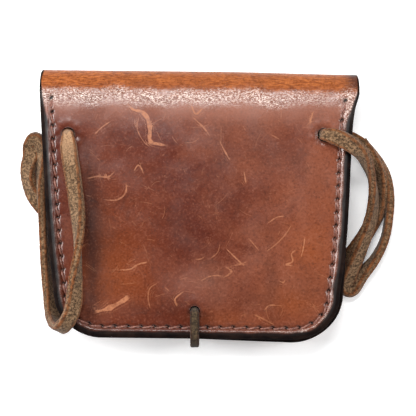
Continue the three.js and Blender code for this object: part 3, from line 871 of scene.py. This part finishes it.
def seam_runs():
    """The seam as distances: for each outline point its distance along the seam, then the
    holes' distances and the seam's line. The seam starts at the left side's upper hole."""
    line = BACK.inset(STITCH_INSET)
    number = np.arange(len(line))
    on_panel = line[:, 1] <= FOLD_START + 2
    last_half = number > len(line) / 2
    order = np.r_[number[on_panel & last_half & (line[:, 0] < 0)],
                  number[on_panel & (number < len(line) / 2)]]
    path = line[order]
    distance = travelled(path)
    lowest = len(path) // 2
    start = np.interp(-FIRST_HOLE_Y, -path[:lowest, 1], distance[:lowest])
    end = np.interp(FIRST_HOLE_Y, path[lowest:, 1], distance[lowest:])
    second, last = start + FIRST_STITCH["left"], end - FIRST_STITCH["right"]
    count = round((last - second) / STITCH_PITCH)
    holes = np.r_[start, np.linspace(second, last, count + 1), end]
    along = np.full(len(line), -1e3)
    along[order] = distance
    return along, holes, path, distance


SEAM_ALONG, SEAM_HOLES, SEAM_PATH, SEAM_DISTANCE = seam_runs()
CUT_SLANT = math.radians(50)  # of the awl's cuts
CUT_HALF_WIDE, CUT_HALF_LONG = 0.48, 0.80


def seam_relief(along, inset):
    """How the seam shapes the leather: a groove, a bead outside it, a pull between holes and
    a slanted awl cut at each hole. Gives the rise and how much a point lies in a cut."""
    nearest = np.clip(np.searchsorted(SEAM_HOLES, along), 1, len(SEAM_HOLES) - 1)
    before, after = SEAM_HOLES[nearest - 1], SEAM_HOLES[nearest]
    share = np.clip((along - before) / (after - before), 0, 1)
    offset = np.where(share < 0.5, along - before, along - after)
    across = inset - STITCH_INSET - 0.25
    u = offset * math.cos(CUT_SLANT) + across * math.sin(CUT_SLANT)
    v = across * math.cos(CUT_SLANT) - offset * math.sin(CUT_SLANT)
    cut = hill(u, 0, CUT_HALF_WIDE) * hill(v, 0, CUT_HALF_LONG)
    on_seam = smoothstep(along, SEAM_HOLES[0] - 2, SEAM_HOLES[0]) * (
        1 - smoothstep(along, SEAM_HOLES[-1], SEAM_HOLES[-1] + 2))
    groove = -0.42 * hill(inset, STITCH_INSET, 0.62)
    pull = 0.16 * np.sin(math.pi * share) ** 2 * (
        0.5 * hill(inset, STITCH_INSET + 1.25, 0.7) + hill(inset, STITCH_INSET - 1.2, 0.6))
    bead = 0.22 * hill(inset, 2.95, 0.5)
    return on_seam * (groove + pull + bead - 0.90 * cut), on_seam * cut


# ---- marks and colour fields

# Worn marks on the back panel: width, strength, then the points that each runs through.
MARKS = [
    (1.35, 0.80, [(-28.4, 40.3), (-25.9, 37.7), (-22.5, 36.7), (-20.4, 34.6), (-19.3, 30.7),
                  (-19.1, 25.3), (-15.8, 24.3), (-12.3, 23.7)]),
    (0.30, 0.55, [(-23.6, 35.2), (-24.2, 30.2), (-22.0, 25.6), (-19.2, 23.0)]),
    (2.00, 0.80, [(-41.1, -41.4), (-35.6, -39.9), (-30.4, -37.2), (-27.2, -35.0)]),
    (0.35, 0.6, [(-28.6, -34.6), (-28.0, -36.6)]),
    (0.50, 0.6, [(-28.6, 9.3), (-28.6, 5.8), (-30.2, 3.5), (-32.9, 2.3), (-37.6, 2.5)]),
    (0.50, 0.65, [(-44.0, 10.6), (-39.5, 11.5), (-35.6, 11.3), (-32.9, 13.6)]),
    (0.35, 0.5, [(-36.6, 12.6), (-35.2, 10.0)]),
    (0.40, 0.6, [(-41.1, 27.6), (-37.9, 30.7), (-34.4, 33.1)]),
    (0.45, 0.75, [(-25.6, 13.6), (-23.9, 16.0), (-22.4, 14.4), (-22.0, 12.8)]),
    (0.50, 0.7, [(-34.4, -24.9), (-27.1, -24.5), (-23.9, -22.6), (-20.0, -21.6)]),
    (0.35, 0.5, [(-16.2, -29.6), (-19.3, -31.9), (-20.0, -35.4), (-19.1, -40.1)]),
    (0.40, 0.7, [(-6.0, -32.7), (-9.5, -36.0), (-8.8, -38.9)]),
    (0.35, 0.6, [(-13.4, -31.4), (-11.6, -33.0)]),
    (0.40, 0.75, [(44.5, 38.1), (43.4, 35.0), (43.0, 32.3)]),
    (0.40, 0.6, [(7.6, 26.1), (10.3, 21.0), (11.9, 18.3)]),
    (0.40, 0.6, [(17.3, 14.0), (18.1, 9.3)]),
    (0.40, 0.85, [(41.0, -11.3), (40.4, -15.6), (39.5, -19.1)]),
    (0.35, 0.6, [(26.3, -6.2), (30.1, -3.7), (33.3, -3.1)]),
    (0.35, 0.5, [(36.0, -6.2), (33.3, -10.5), (29.0, -14.8), (25.9, -17.1)]),
    (0.35, 0.55, [(18.9, -11.7), (21.4, -14.6), (23.1, -16.7)]),
    (0.40, 0.65, [(10.3, -16.0), (14.2, -19.8), (17.7, -23.0)]),
    (0.35, 0.5, [(12.6, -22.6), (15.6, -22.2), (18.5, -21.0)]),
    (0.50, 0.65, [(37.6, -16.2), (35.8, -17.8), (36.2, -20.8), (33.8, -22.0), (36.9, -22.6)]),
    (0.40, 0.6, [(25.1, -40.1), (27.0, -38.1), (32.5, -38.1)]),
    (0.50, 0.55, [(21.2, -41.6), (25.0, -43.4), (29.0, -45.5)]),
    (0.35, 0.5, [(0.2, -28.8), (4.5, -26.8), (9.1, -26.7)]),
    (0.55, 0.7, [(-3.3, 39.7), (-1.4, 36.2), (1.4, 38.6)]),
    (0.40, 0.6, [(-3.0, 35.2), (0.2, 32.3), (2.1, 30.3), (4.1, 27.6)]),
    (0.60, 0.5, [(9.0, -27.6), (12.4, -25.0), (10.0, -23.0)]),
    (0.35, 0.5, [(-12.2, 42.0), (-10.4, 43.2), (-7.8, 43.0)]),
    (0.45, 0.6, [(31.0, -28.4), (32.6, -29.0), (33.4, -27.8)]),
    (0.35, 0.45, [(27.6, 28.6), (29.8, 27.4), (31.2, 26.6)]),
    (0.30, 0.45, [(4.0, -20.2), (7.0, -17.6), (8.0, -14.2)]),
    (0.35, 0.55, [(-1.8, -20.4), (0.6, -20.2), (1.8, -19.4)]),
]
FINE_MARKS = 170
MARK_REACH = 0.9  # how far from a mark its values are kept
MARK_CLEAR = 1.5  # the margin round a mark in which points are tested

# Fields on the back panel: x, y, half width, half height, strength.
PALE_FIELDS = [
    (44, -33, 22, 13, 0.55), (36, 6, 20, 28, 0.22), (33, -20, 14, 10, 0.18),
    (52, 10, 8, 20, 0.2), (0, -27, 12, 8, 0.2), (-50, 0, 6, 40, 0.2),
]
WARM_FIELDS = [
    (-34, -30, 17, 14, 0.55), (-40, -10, 10, 26, 0.35), (-24, -10, 12, 22, 0.25),
    (43, -16, 9, 12, 0.75), (37, -37, 9, 6, 0.65), (50, 4, 6, 16, 0.3), (12, -44, 16, 4, 0.4),
]
# Where a painted sheen lightens the panel.
PAINTED_SHEEN_FIELDS = [(-3.5, -30, 10, 7, 0.46), (33, 18, 14, 8, 0.16), (-26, 14, 9, 9, 0.14)]
# Where painted glints lie on the bead outside the seam.
GLINT_FIELDS = [(45, -42, 15, 12, 0.75), (56, 5, 8, 30, 0.25)]
# Darker patches. The first row is a painted shadow of the left lace, on the panel beside it.
DARK_FIELDS = [
    (-41.8, -22, 3.4, 24, 0.62), (-43.0, 2, 2.6, 16, 0.34), (42, -32, 9, 8, 0.16),
    (33, 36, 8, 3, 0.12), (20, -36, 7, 4, 0.24), (40, 14, 4, 8, 0.14),
    (-28.2, -3.5, 1.0, 2.2, 0.35), (-42, -8, 6, 22, 0.22), (-14, -41, 20, 5, 0.22),
    (8, 26, 5, 8, 0.18), (22, 32, 4, 9, 0.22), (30, 22, 9, 5, 0.16), (-4, -12, 10, 9, 0.2),
    (6, -28, 5, 10, 0.26), (-3, 6, 13, 12, 0.10), (12, 8, 7, 16, 0.10), (-10, 34, 5, 5, 0.08),
    (47, 8, 5, 10, 0.10), (28, -30, 3, 12, 0.30), (24, -8, 5, 4, 0.16), (-38, 36, 8, 5, 0.10),
    (-44, -42, 7, 5, 0.34),
]
# Soft swells of the panel over what is behind it: x, y, half width, half height, rise.
SWELLS = [
    (-2, -36, 11, 9, 0.85), (0, 2, 34, 26, 0.35), (-36, -18, 12, 20, -0.25),
    (34, -24, 16, 14, 0.30), (30, 24, 16, 10, -0.18), (-20, 26, 18, 9, 0.15),
]


def fields(table, x, y):
    total = np.zeros_like(x)
    for cx, cy, half_x, half_y, strength in table:
        total += strength * hill(x, cx, half_x) * hill(y, cy, half_y)
    return total


def all_marks():
    rng = np.random.default_rng(5)
    marks = [(width, strength, np.array(points, float)) for width, strength, points in MARKS]
    for _ in range(FINE_MARKS):
        start = np.array([rng.uniform(-46, 50), rng.uniform(-44, 42)])
        angle, bend = rng.uniform(0, math.tau), rng.normal(0, 0.5)
        length = 1.2 + 6.5 * rng.uniform(0, 1) ** 2
        turns = angle + bend * np.linspace(0, 1, 5)
        steps = np.c_[np.cos(turns), np.sin(turns)] * length / 4
        marks.append((rng.uniform(0.06, 0.18), rng.uniform(0.12, 0.42),
                      start + np.vstack([(0, 0), np.cumsum(steps[:4], axis=0)])))
    return marks


def worn_marks(x, y):
    """The nearest worn mark at each point: how strong it is, half its width, and the
    distance from its middle line, signed by the side that the point is on."""
    strong, half, signed = np.zeros_like(x), np.full_like(x, 0.1), np.ones_like(x)
    nearest = np.full_like(x, MARK_REACH)
    rng = np.random.default_rng(8)
    for width, strength, points in all_marks():
        t = np.linspace(0, 1, 14 * len(points))
        line = smooth_route(points, t)
        travel = np.gradient(line, axis=0)
        taper = width * (0.35 + 0.65 * np.sin(math.pi * np.clip(t, 0.04, 0.96)) ** 0.6) / 2
        knots = 3 * len(points)
        uneven = np.interp(t, np.linspace(0, 1, knots), rng.normal(0, 1, knots))
        taper = np.maximum(taper * (1 + 0.22 * uneven), 0.04)
        ends = smoothstep(np.minimum(t, 1 - t), -0.02, 0.12)
        low, high = line.min(axis=0) - MARK_CLEAR, line.max(axis=0) + MARK_CLEAR
        near = np.where((x > low[0]) & (x < high[0]) & (y > low[1]) & (y < high[1]))[0]
        if not len(near):
            continue
        dx, dy = x[near, None] - line[:, 0], y[near, None] - line[:, 1]
        away = np.hypot(dx, dy)
        k = away.argmin(axis=1)
        row = np.arange(len(near))
        away, dx, dy = away[row, k], dx[row, k], dy[row, k]
        side = np.sign(travel[k, 0] * dy - travel[k, 1] * dx)
        closer = away - taper[k] < nearest[near]
        chosen, k = near[closer], k[closer]
        nearest[chosen] = away[closer] - taper[k]
        signed[chosen] = away[closer] * side[closer]
        half[chosen] = taper[k]
        strong[chosen] = strength * ends[k]
    return strong, half, signed


# ---- back panel, fold and flap

FACE_INSETS = (0.0, 0.12, 0.3, 0.55, 0.85, 1.2, 1.6, 2.0, 2.4, 2.75, 3.1, 3.4, 3.65, 3.9,
               4.15, 4.4, 4.65, 4.9, 5.2, 5.6, 6.05, 6.5)
UNDER_INSETS = (1.1, 0.7, 0.35, 0.1)
EDGE_BEVEL, EDGE_DROP = 2.7, 1.75  # how far the stack's worn edge reaches in, and down
FREE_BEVEL, FREE_DROP = 0.9, 0.75  # the same at the flap's free edge

# 1 where the outline is the stitched stack's edge, 0 at the fold and on the flap.
STACK = np.where(BACK.points[:, 1] < FOLD_START + 1,
                 1 - smoothstep(BACK.points[:, 1], 31, FOLD_START + 1), 0.0)
# The rings draw closer together on the flap, where no seam runs.
RING_SCALE = 1 - 0.6 * smoothstep(BACK.points[:, 1], FOLD_START + 2, FOLD_START + 14)


def back_edge_rings():
    bevel = FREE_BEVEL + (EDGE_BEVEL - FREE_BEVEL) * STACK
    drop = FREE_DROP + (EDGE_DROP - FREE_DROP) * STACK
    face_insets = [inset * RING_SCALE for inset in FACE_INSETS]
    return edge_rings(LEATHER, (UNDER_INSETS, 0.8, 0.55), ((0.15, 0.4, 0.65, 0.87), 0.06),
                      (face_insets, bevel, drop))


def hole_relief(away, angle, radius, depth, ridge, turn):
    """A pressed-in rim round a hole, with a soft ridge and creases that run out from it."""
    creases = np.sin(9 * angle + turn) * 0.6 + np.sin(5 * angle - turn) * 0.4
    return (ridge * hill(away, radius + 2.3, 1.2) - depth * hill(away, radius, 0.75)
            + 0.05 * creases * hill(away, radius + 1.8, 1.6))


def roll_off():
    """The panel starts to lean before the fold: the lean's slope along the leather, added
    up to a rise that is back at nothing inside the fold."""
    slope = np.array([(36, 0), (38.5, -0.015), (40.6, -0.055), (42.6, -0.10), (45, -0.155),
                      (47, -0.09), (49.5, 0.0), (53, 0.085), (58, 0.06), (61, 0)])
    s = np.linspace(slope[0, 0], slope[-1, 0], 200)
    rise = np.cumsum(np.interp(s, slope[:, 0], slope[:, 1]) * (s[1] - s[0]))
    return s, rise - np.linspace(0, rise[-1], len(s))


ROLL_OFF = roll_off()
GLINT_AND_CRACKLE_BAND = 42.9  # where the painted highlight flecks and the crackled relief are strongest, before the fold
SHEEN_BAND = 38.5  # where a painted sheen lies below that


def saddle_channels(sheet):
    """The relief and the painted channels of the back panel, fold and flap."""
    x, s = sheet.flat.T
    panel = s <= FOLD_START
    on_panel = 1 - smoothstep(s, FOLD_START - 4, FOLD_START + 2)
    on_face, on_wall, beneath = (sheet.side == side for side in (FACE, WALL, UNDER))
    seam_rise, cut = seam_relief(SEAM_ALONG[sheet.index], sheet.inset)
    stack = STACK[sheet.index]
    strong, half_width, mark_away = worn_marks(x, s)

    rise = on_panel * smoothstep(sheet.inset, 5, 12) * (
        fields(SWELLS, x, s) + 0.09 * ripples(x, s, 26, 3) + 0.035 * ripples(x, s, 9, 4))
    # Darker in patches, along the seam, round the holes and at the fold's right end; one patch is
    # the painted shadow of the left lace.
    dark = (panel * fields(DARK_FIELDS, x, s) + 0.25 * stack * hill(sheet.inset, STITCH_INSET, 1.6)
            + 0.85 * smoothstep(x, 54.5, 61) * smoothstep(s, FOLD_START, FOLD_START + 4))
    for (hole_x, hole_y), radius, _, depth, ridge, turn, dark_ring in HOLES.values():
        dx, ds = x - hole_x, s - (hole_y + SLANT * hole_x)
        away = np.hypot(dx, ds)
        rise += on_panel * hole_relief(away, np.arctan2(ds, dx), radius, depth, ridge, turn)
        # The leather is darker in a ring round each hole.
        dark += panel * 0.4 * (1 - smoothstep(away, dark_ring, dark_ring + 0.9))
    rise += hill(s, FOLD_START + 2, 6) * (0.05 * ripples(x, s, 7, 9)
                                          + 0.06 * ripples(x, 3 * s, 16, 10))
    rise += np.interp(s, *ROLL_OFF)
    rise = on_face * (rise + panel * seam_rise) + on_wall * stack * 0.06 * ripples(x, s, 9, 12)

    band = 0.8 + 2.3 * stack + 0.35 * ripples(x, s, 8, 13)
    inside = smoothstep(sheet.inset, 1.0, 2.2)
    burnish = 1 - smoothstep(sheet.inset, band * 0.72, band * 1.15)
    burnish = np.select([on_wall, beneath], [1.0, 1 - inside], burnish)
    wall = 1 - smoothstep(sheet.inset, 0.5 + 0.5 * stack, 1.0 + 0.8 * stack)
    turned = smoothstep(s, FOLD_START - 4, FOLD_START + 5) * (
        1 - 0.45 * smoothstep(s, FOLD_START + 16, FLAP_START + 6))
    # Painted highlight flecks over a crackled relief lie in a wavering band before the fold,
    # by the right end of the seam and on the bead outside the seam.
    wave = s + 0.9 * ripples(x, 0.3 * s, 17, 22)
    glint_and_crackle = ((0.95 + 0.25 * ripples(x, s, 8, 21)) * (1 - 0.60 * smoothstep(x, 20, 56))
               * hill(wave, GLINT_AND_CRACKLE_BAND, np.where(wave > GLINT_AND_CRACKLE_BAND, 2.5, 2.9))
               + hill(x, 58.5, 2.6) * hill(s, 39.5, 5.5)
               + on_face * stack * hill(sheet.inset, 3.0, 0.55)
               * (0.7 + 0.6 * ripples(x, s, 6, 33)) * (0.22 + fields(GLINT_FIELDS, x, s)))
    # A painted sheen, in a band below the fold and in patches.
    painted_sheen = panel * (hill(s, SHEEN_BAND, 5.6) * (0.9 + 0.2 * ripples(x, s, 18, 25))
                     + fields(PAINTED_SHEEN_FIELDS, x, s))
    past_shine = smoothstep(s + 0.9 * ripples(x, s, 5, 27), FOLD_START - 1.6, FOLD_START + 2.8)
    pale = 0.60 * smoothstep(x, -30, 48) + panel * fields(PALE_FIELDS, x, s)
    # Among these, the awl cuts get painted shade.
    clipped = {"pale": pale, "dark": dark, "warm": on_panel * fields(WARM_FIELDS, x, s),
               "glint_and_crackle": glint_and_crackle, "painted_sheen": painted_sheen, "cut_shade": 2.0 * on_face * panel * cut}
    return rise, {
        **{name: np.clip(values, 0, 1) for name, values in clipped.items()},
        "turn": turned, "burnish": burnish, "wall": np.where(beneath, 0.0, wall),
        "mark": on_face * panel * strong, "mark_half_width": half_width, "mark_away": mark_away,
        "past_shine": past_shine, "flesh": beneath * inside}


def stud_seat():
    """The stud's seat on the flap's outer face, and its axis."""
    x, s = np.array([STUD_PLACE[0]]), np.array([turned_over(STUD_PLACE[1])])
    return outer_face(x, s)[0], facing(outer_face, x, s)[0]


def add_back_and_flap():
    holes = [(x, y + SLANT * x, radius, count) for (x, y), radius, count, *_ in HOLES.values()]
    holes.append((STUD_PLACE[0], turned_over(STUD_PLACE[1]), STUD_NECK_RADIUS + 0.2, 32))
    far = FLAP_START + 97  # past the flap's low edge
    rows = {FACE: [(ROWS_FROM, FOLD_START - 0.3, 0.5), (FOLD_START, FLAP_START, 0.72),
                   (FLAP_START + 0.5, far, 1.8)], UNDER: [(ROWS_FROM, far, 2.6)]}
    sheet = Sheet(BACK, back_edge_rings(), LEATHER, rows, holes)
    rise, channels = saddle_channels(sheet)
    x, s = sheet.flat.T
    points = outer_face(x, s) - facing(outer_face, x, s) * (sheet.depth - rise)[:, None]
    piece = make_piece("back_and_flap_leather", points, sheet.faces, SADDLE_LEATHER, channels)
    declare(piece, "back_and_flap")


add_back_and_flap()

# ---- moulded front

RIM_FOOT = DEPTH - LEATHER - SEAT - FRONT_LEATHER
FRONT_FACE = LEATHER + SEAT


def pocket_outline():
    """The front's outline: the stack's edge, with the mouth's two corners rounded off."""
    top = MOUTH - MOUTH_CORNER
    left, right = (side_run(side, top, BACK_CORNERS) for side in SIDES)
    angle = np.linspace(0, math.pi / 2, 30)
    arc = MOUTH_CORNER * np.c_[np.cos(angle), np.sin(angle)]
    right_corner = (right[0, 0] - MOUTH_CORNER, top) + arc
    left_corner = (left[0, 0] + MOUTH_CORNER, top) + arc[::-1] * (-1, 1)
    edge, corner = 0.9, 0.4
    return Outline([([left[-1], right[-1]], edge), (right[::-1], edge), (right_corner, corner),
                    ([right_corner[-1], left_corner[0]], edge), (left_corner, corner),
                    (left, edge)])


STITCHED_EDGE = spaced(np.vstack([side_run("left", MOUTH + 20, BACK_CORNERS),
                                  side_run("right", MOUTH + 20, BACK_CORNERS)[::-1]]), 0.8)


def distance_in(x, y):
    """Distance from the stitched edge."""
    result = np.full(len(x), np.inf)
    for edge_x, edge_y in STITCHED_EDGE:
        result = np.minimum(result, np.hypot(x - edge_x, y - edge_y))
    return result


def front_outer(x, y):
    """The moulded front's outer face, which looks down; this surface is given upwards."""
    t = np.clip((distance_in(x, y) - FLANGE) / (BULGE_FOOT - FLANGE), 0, 1)
    drop = (1 - SHOULDER) * smoothstep(t, 0, 1) + SHOULDER * np.sin(math.pi / 2 * t)
    z = RIM_FOOT - (RIM_FOOT - FRONT_FACE) * drop + lean_at(y) * smoothstep(drop, 0, 1)
    return np.stack([x, y - SLANT * x, z], axis=-1)


def add_front_pocket():
    rings = edge_rings(FRONT_LEATHER, ((1.2, 0.8, 0.4, 0.12), 1.2, 0.6), ((0.2, 0.5, 0.8), 0.05),
                       ((0.0, 0.15, 0.4, 1.0), 0.4, 0.25))
    rows = [(ROWS_FROM, 44, 1.25)]
    sheet = Sheet(pocket_outline(), rings, FRONT_LEATHER, {FACE: rows, UNDER: rows})
    x, y = sheet.flat.T
    normal = facing(front_outer, x, y, 0.3)
    points = front_outer(x, y) + normal * (FRONT_LEATHER - sheet.depth)[:, None]
    inner = sheet.side == FACE
    burnish = np.where(sheet.side == WALL, 1.0, 1 - smoothstep(sheet.inset, 0.8, 1.8))
    burnish = np.where(inner, 0, burnish)
    plain = dict.fromkeys(("warm", "turn", "mark", "glint_and_crackle", "painted_sheen", "past_shine",
                           "mark_half_width", "cut_shade"), np.zeros(len(x)))
    channels = {**plain, "pale": np.full(len(x), 0.2), "mark_away": np.ones(len(x)),
                "dark": 0.15 + 0.1 * ripples(x, y, 20, 31), "burnish": burnish,
                "wall": burnish, "flesh": inner}
    piece = make_piece("front_pocket_leather", points, sheet.faces, SADDLE_LEATHER, channels)
    declare(piece, "front_pocket")


add_front_pocket()

# ---- closing thong and stud


def circle_about(axis, count):
    """Points of a circle with a radius of one, square to an axis."""
    side = unit(np.cross(axis, (1, 0, 0)))
    return circle_points(count) @ np.stack([side, np.cross(axis, side)])


def add_closing_thong():
    """The thong, with the stud's round hole cut in its eye."""
    piece, _, _ = lay_strip("closing_thong", THONG, THONG_WIDTH, THONG_THICKNESS, THONG_KNOT, 41)
    place, axis = stud_seat()
    circle = (STUD_NECK_RADIUS + 0.25) * circle_about(axis, 32)
    ends = np.vstack([place - 4.5 * axis + circle, place + 6 * axis + circle])
    cutter = show("eye", make_mesh("eye", ends, tube_faces(2, 32)))
    cut = piece.modifiers.new("eye", "BOOLEAN")
    cut.object = cutter
    cut.solver = "EXACT"
    graph = bpy.context.evaluated_depsgraph_get()
    cut_mesh = bpy.data.meshes.new_from_object(piece.evaluated_get(graph))
    piece.modifiers.clear()
    piece.data = cut_mesh
    bpy.data.objects.remove(cutter)
    declare(piece, "closing_thong")


STUD_BACK = -LEATHER - SEAT
# The stud's washer, neck and domed head: radius, height.
STUD_PROFILE = [
    (0.01, STUD_BACK - 1), (2.2, STUD_BACK - 1), (2.7, STUD_BACK - 0.85), (2.8, STUD_BACK - 0.5),
    (2.7, STUD_BACK - 0.1), (2.4, STUD_BACK), (STUD_NECK_RADIUS, STUD_BACK),
    (STUD_NECK_RADIUS, -1.0), (STUD_NECK_RADIUS, 1.4), (STUD_NECK_RADIUS, 3.8), (2.5, 3.8),
    (3.0, 3.9), (3.2, 4.15), (3.1, 4.5), (2.6, 4.9), (1.7, 5.18), (0.8, 5.3), (0.01, 5.32),
]


def add_flap_stud():
    """A round post through the flap, with a domed head outside and a washer inside."""
    place, axis = stud_seat()
    circle = circle_about(axis, 48)
    points = np.vstack([place + height * axis + radius * circle
                        for radius, height in STUD_PROFILE])
    piece = make_piece("flap_stud_brass", points, tube_faces(len(STUD_PROFILE), 48), BRASS)
    declare(piece, "flap_stud")


add_closing_thong()
add_flap_stud()

# ---- stitches


def stitch_tree():
    """Nodes that lay a slanted, arched stitch at every even place on a line."""
    tree = bpy.data.node_groups.new("saddle stitches", "GeometryNodeTree")
    face = tree.interface
    sizes = ("Length", "Thread Radius", "Rise", "Dip", "Slant", "Unevenness")
    kinds = {"Geometry": "Geometry", **dict.fromkeys(sizes, "Float"), "Stitches": "Int",
             "Seed": "Int"}
    for name, kind in kinds.items():
        face.new_socket(name, in_out="INPUT", socket_type="NodeSocket" + kind)
    face.new_socket("Geometry", in_out="OUTPUT", socket_type="NodeSocketGeometry")

    def node(kind, inputs=None, output=0, **settings):
        return add_node(tree, kind, inputs, output, **settings)

    def times(a, b):
        return node("ShaderNodeMath", {0: a, 1: b}, operation="MULTIPLY")

    def point(**places):
        return node("ShaderNodeCombineXYZ", places)

    given = tree.nodes.new("NodeGroupInput").outputs
    half, sunk = times(given["Length"], 0.5), times(given["Dip"], -1.0)
    arch = node("GeometryNodeCurveQuadraticBezier", {
        "Resolution": 9, "Start": point(X=times(half, -1.0), Z=sunk),
        "Middle": point(Z=given["Rise"]), "End": point(X=half, Z=sunk)})
    round_thread = node("GeometryNodeCurvePrimitiveCircle",
                        {"Resolution": 8, "Radius": given["Thread Radius"]})
    thread = node("GeometryNodeCurveToMesh",
                  {"Curve": arch, "Profile Curve": round_thread, "Fill Caps": True})

    line = node("GeometryNodeMeshToCurve", {"Mesh": given["Geometry"]})
    places = node("GeometryNodeResampleCurve", {"Curve": line, "Count": given["Stitches"]})
    aim = node("FunctionNodeAlignRotationToVector",
               {"Vector": node("GeometryNodeInputTangent")}, axis="X", pivot_axis="Z")
    uneven = given["Unevenness"]
    float_low, float_high, float_result = 2, 3, 1  # the random node's sockets for numbers
    jitter = node("FunctionNodeRandomValue", {
        float_low: times(uneven, -1.0), float_high: uneven, "Seed": given["Seed"],
    }, float_result, data_type="FLOAT")
    angle = node("ShaderNodeMath", {0: given["Slant"], 1: jitter})
    twist = node("FunctionNodeAxisAngleToRotation", {"Axis": (0, 0, 1), "Angle": angle})
    turned = node("FunctionNodeRotateRotation", {"Rotation": aim, "Rotate By": twist},
                  rotation_space="LOCAL")
    laid = node("GeometryNodeInstanceOnPoints",
                {"Points": places, "Instance": thread, "Rotation": turned})
    smooth = node("GeometryNodeSetShadeSmooth",
                  {"Geometry": node("GeometryNodeRealizeInstances", {"Geometry": laid})})
    painted = node("GeometryNodeSetMaterial", {"Geometry": smooth, "Material": THREAD})
    feed(tree.nodes.new("NodeGroupOutput"), {"Geometry": painted})
    return tree


STITCH_TREE = stitch_tree()


def sew(name, line, stitches, slot, **sizes):
    """Stitches on a line of points in millimetres, as one plain mesh."""
    edges = [(i, i + 1) for i in range(len(line) - 1)]
    guide = show(name + "_line", make_mesh(name + "_line", line, [], edges))
    modifier = guide.modifiers.new("stitches", "NODES")
    modifier.node_group = STITCH_TREE
    inputs = {item.name: item.identifier for item in STITCH_TREE.interface.items_tree
              if item.item_type == "SOCKET" and item.in_out == "INPUT"}
    for key, value in dict(sizes, Stitches=stitches).items():
        modifier[inputs[key.replace("_", " ")]] = value
    graph = bpy.context.evaluated_depsgraph_get()
    made = bpy.data.meshes.new_from_object(guide.evaluated_get(graph))
    made.name = name
    bpy.data.objects.remove(guide)
    declare(show(name, made))


def seam_line(start, end, z):
    """The seam's middle from one distance to another, at a height."""
    places = np.linspace(start, end, max(2, int((end - start) / 0.8)))
    x, y = (np.interp(places, SEAM_DISTANCE, column) for column in SEAM_PATH.T)
    return np.c_[x, y - SLANT * x, np.full(len(places), z)]


def add_stitches():
    pitch = SEAM_HOLES[2] - SEAM_HOLES[1]
    even = len(SEAM_HOLES) - 3
    first, last = SEAM_HOLES[1] + pitch / 2, SEAM_HOLES[-2] - pitch / 2
    seat = DEPTH - THREAD_RADIUS
    sizes = dict(Length=pitch * 0.90 * MM, Thread_Radius=THREAD_RADIUS * MM, Rise=1.25 * MM,
                 Dip=0.75 * MM, Slant=0.19, Unevenness=0.06, Seed=3)
    sew("back_stitches", seam_line(first, last, seat), even, "saddle_leather", **sizes)
    for name, (start, end) in (("left_end_stitch", SEAM_HOLES[:2]),
                               ("right_end_stitch", SEAM_HOLES[-2:])):
        middle = (start + end) / 2
        long = dict(sizes, Length=(end - start) * MM, Slant=0.0, Unevenness=0.02, Rise=1.1 * MM)
        for thread, aside in (("_a", -THREAD_RADIUS), ("_b", THREAD_RADIUS)):
            line = seam_line(middle - 0.02, middle + 0.02, seat) + (aside, 0, 0)
            sew(name + thread, line, 1, "saddle_leather", **long)
    under = dict(sizes, Rise=-1.2 * MM, Dip=-0.35 * MM, Slant=-0.19)
    sew("front_stitches", seam_line(first, last, RIM_FOOT), even, "front_leather", **under)


add_stitches()
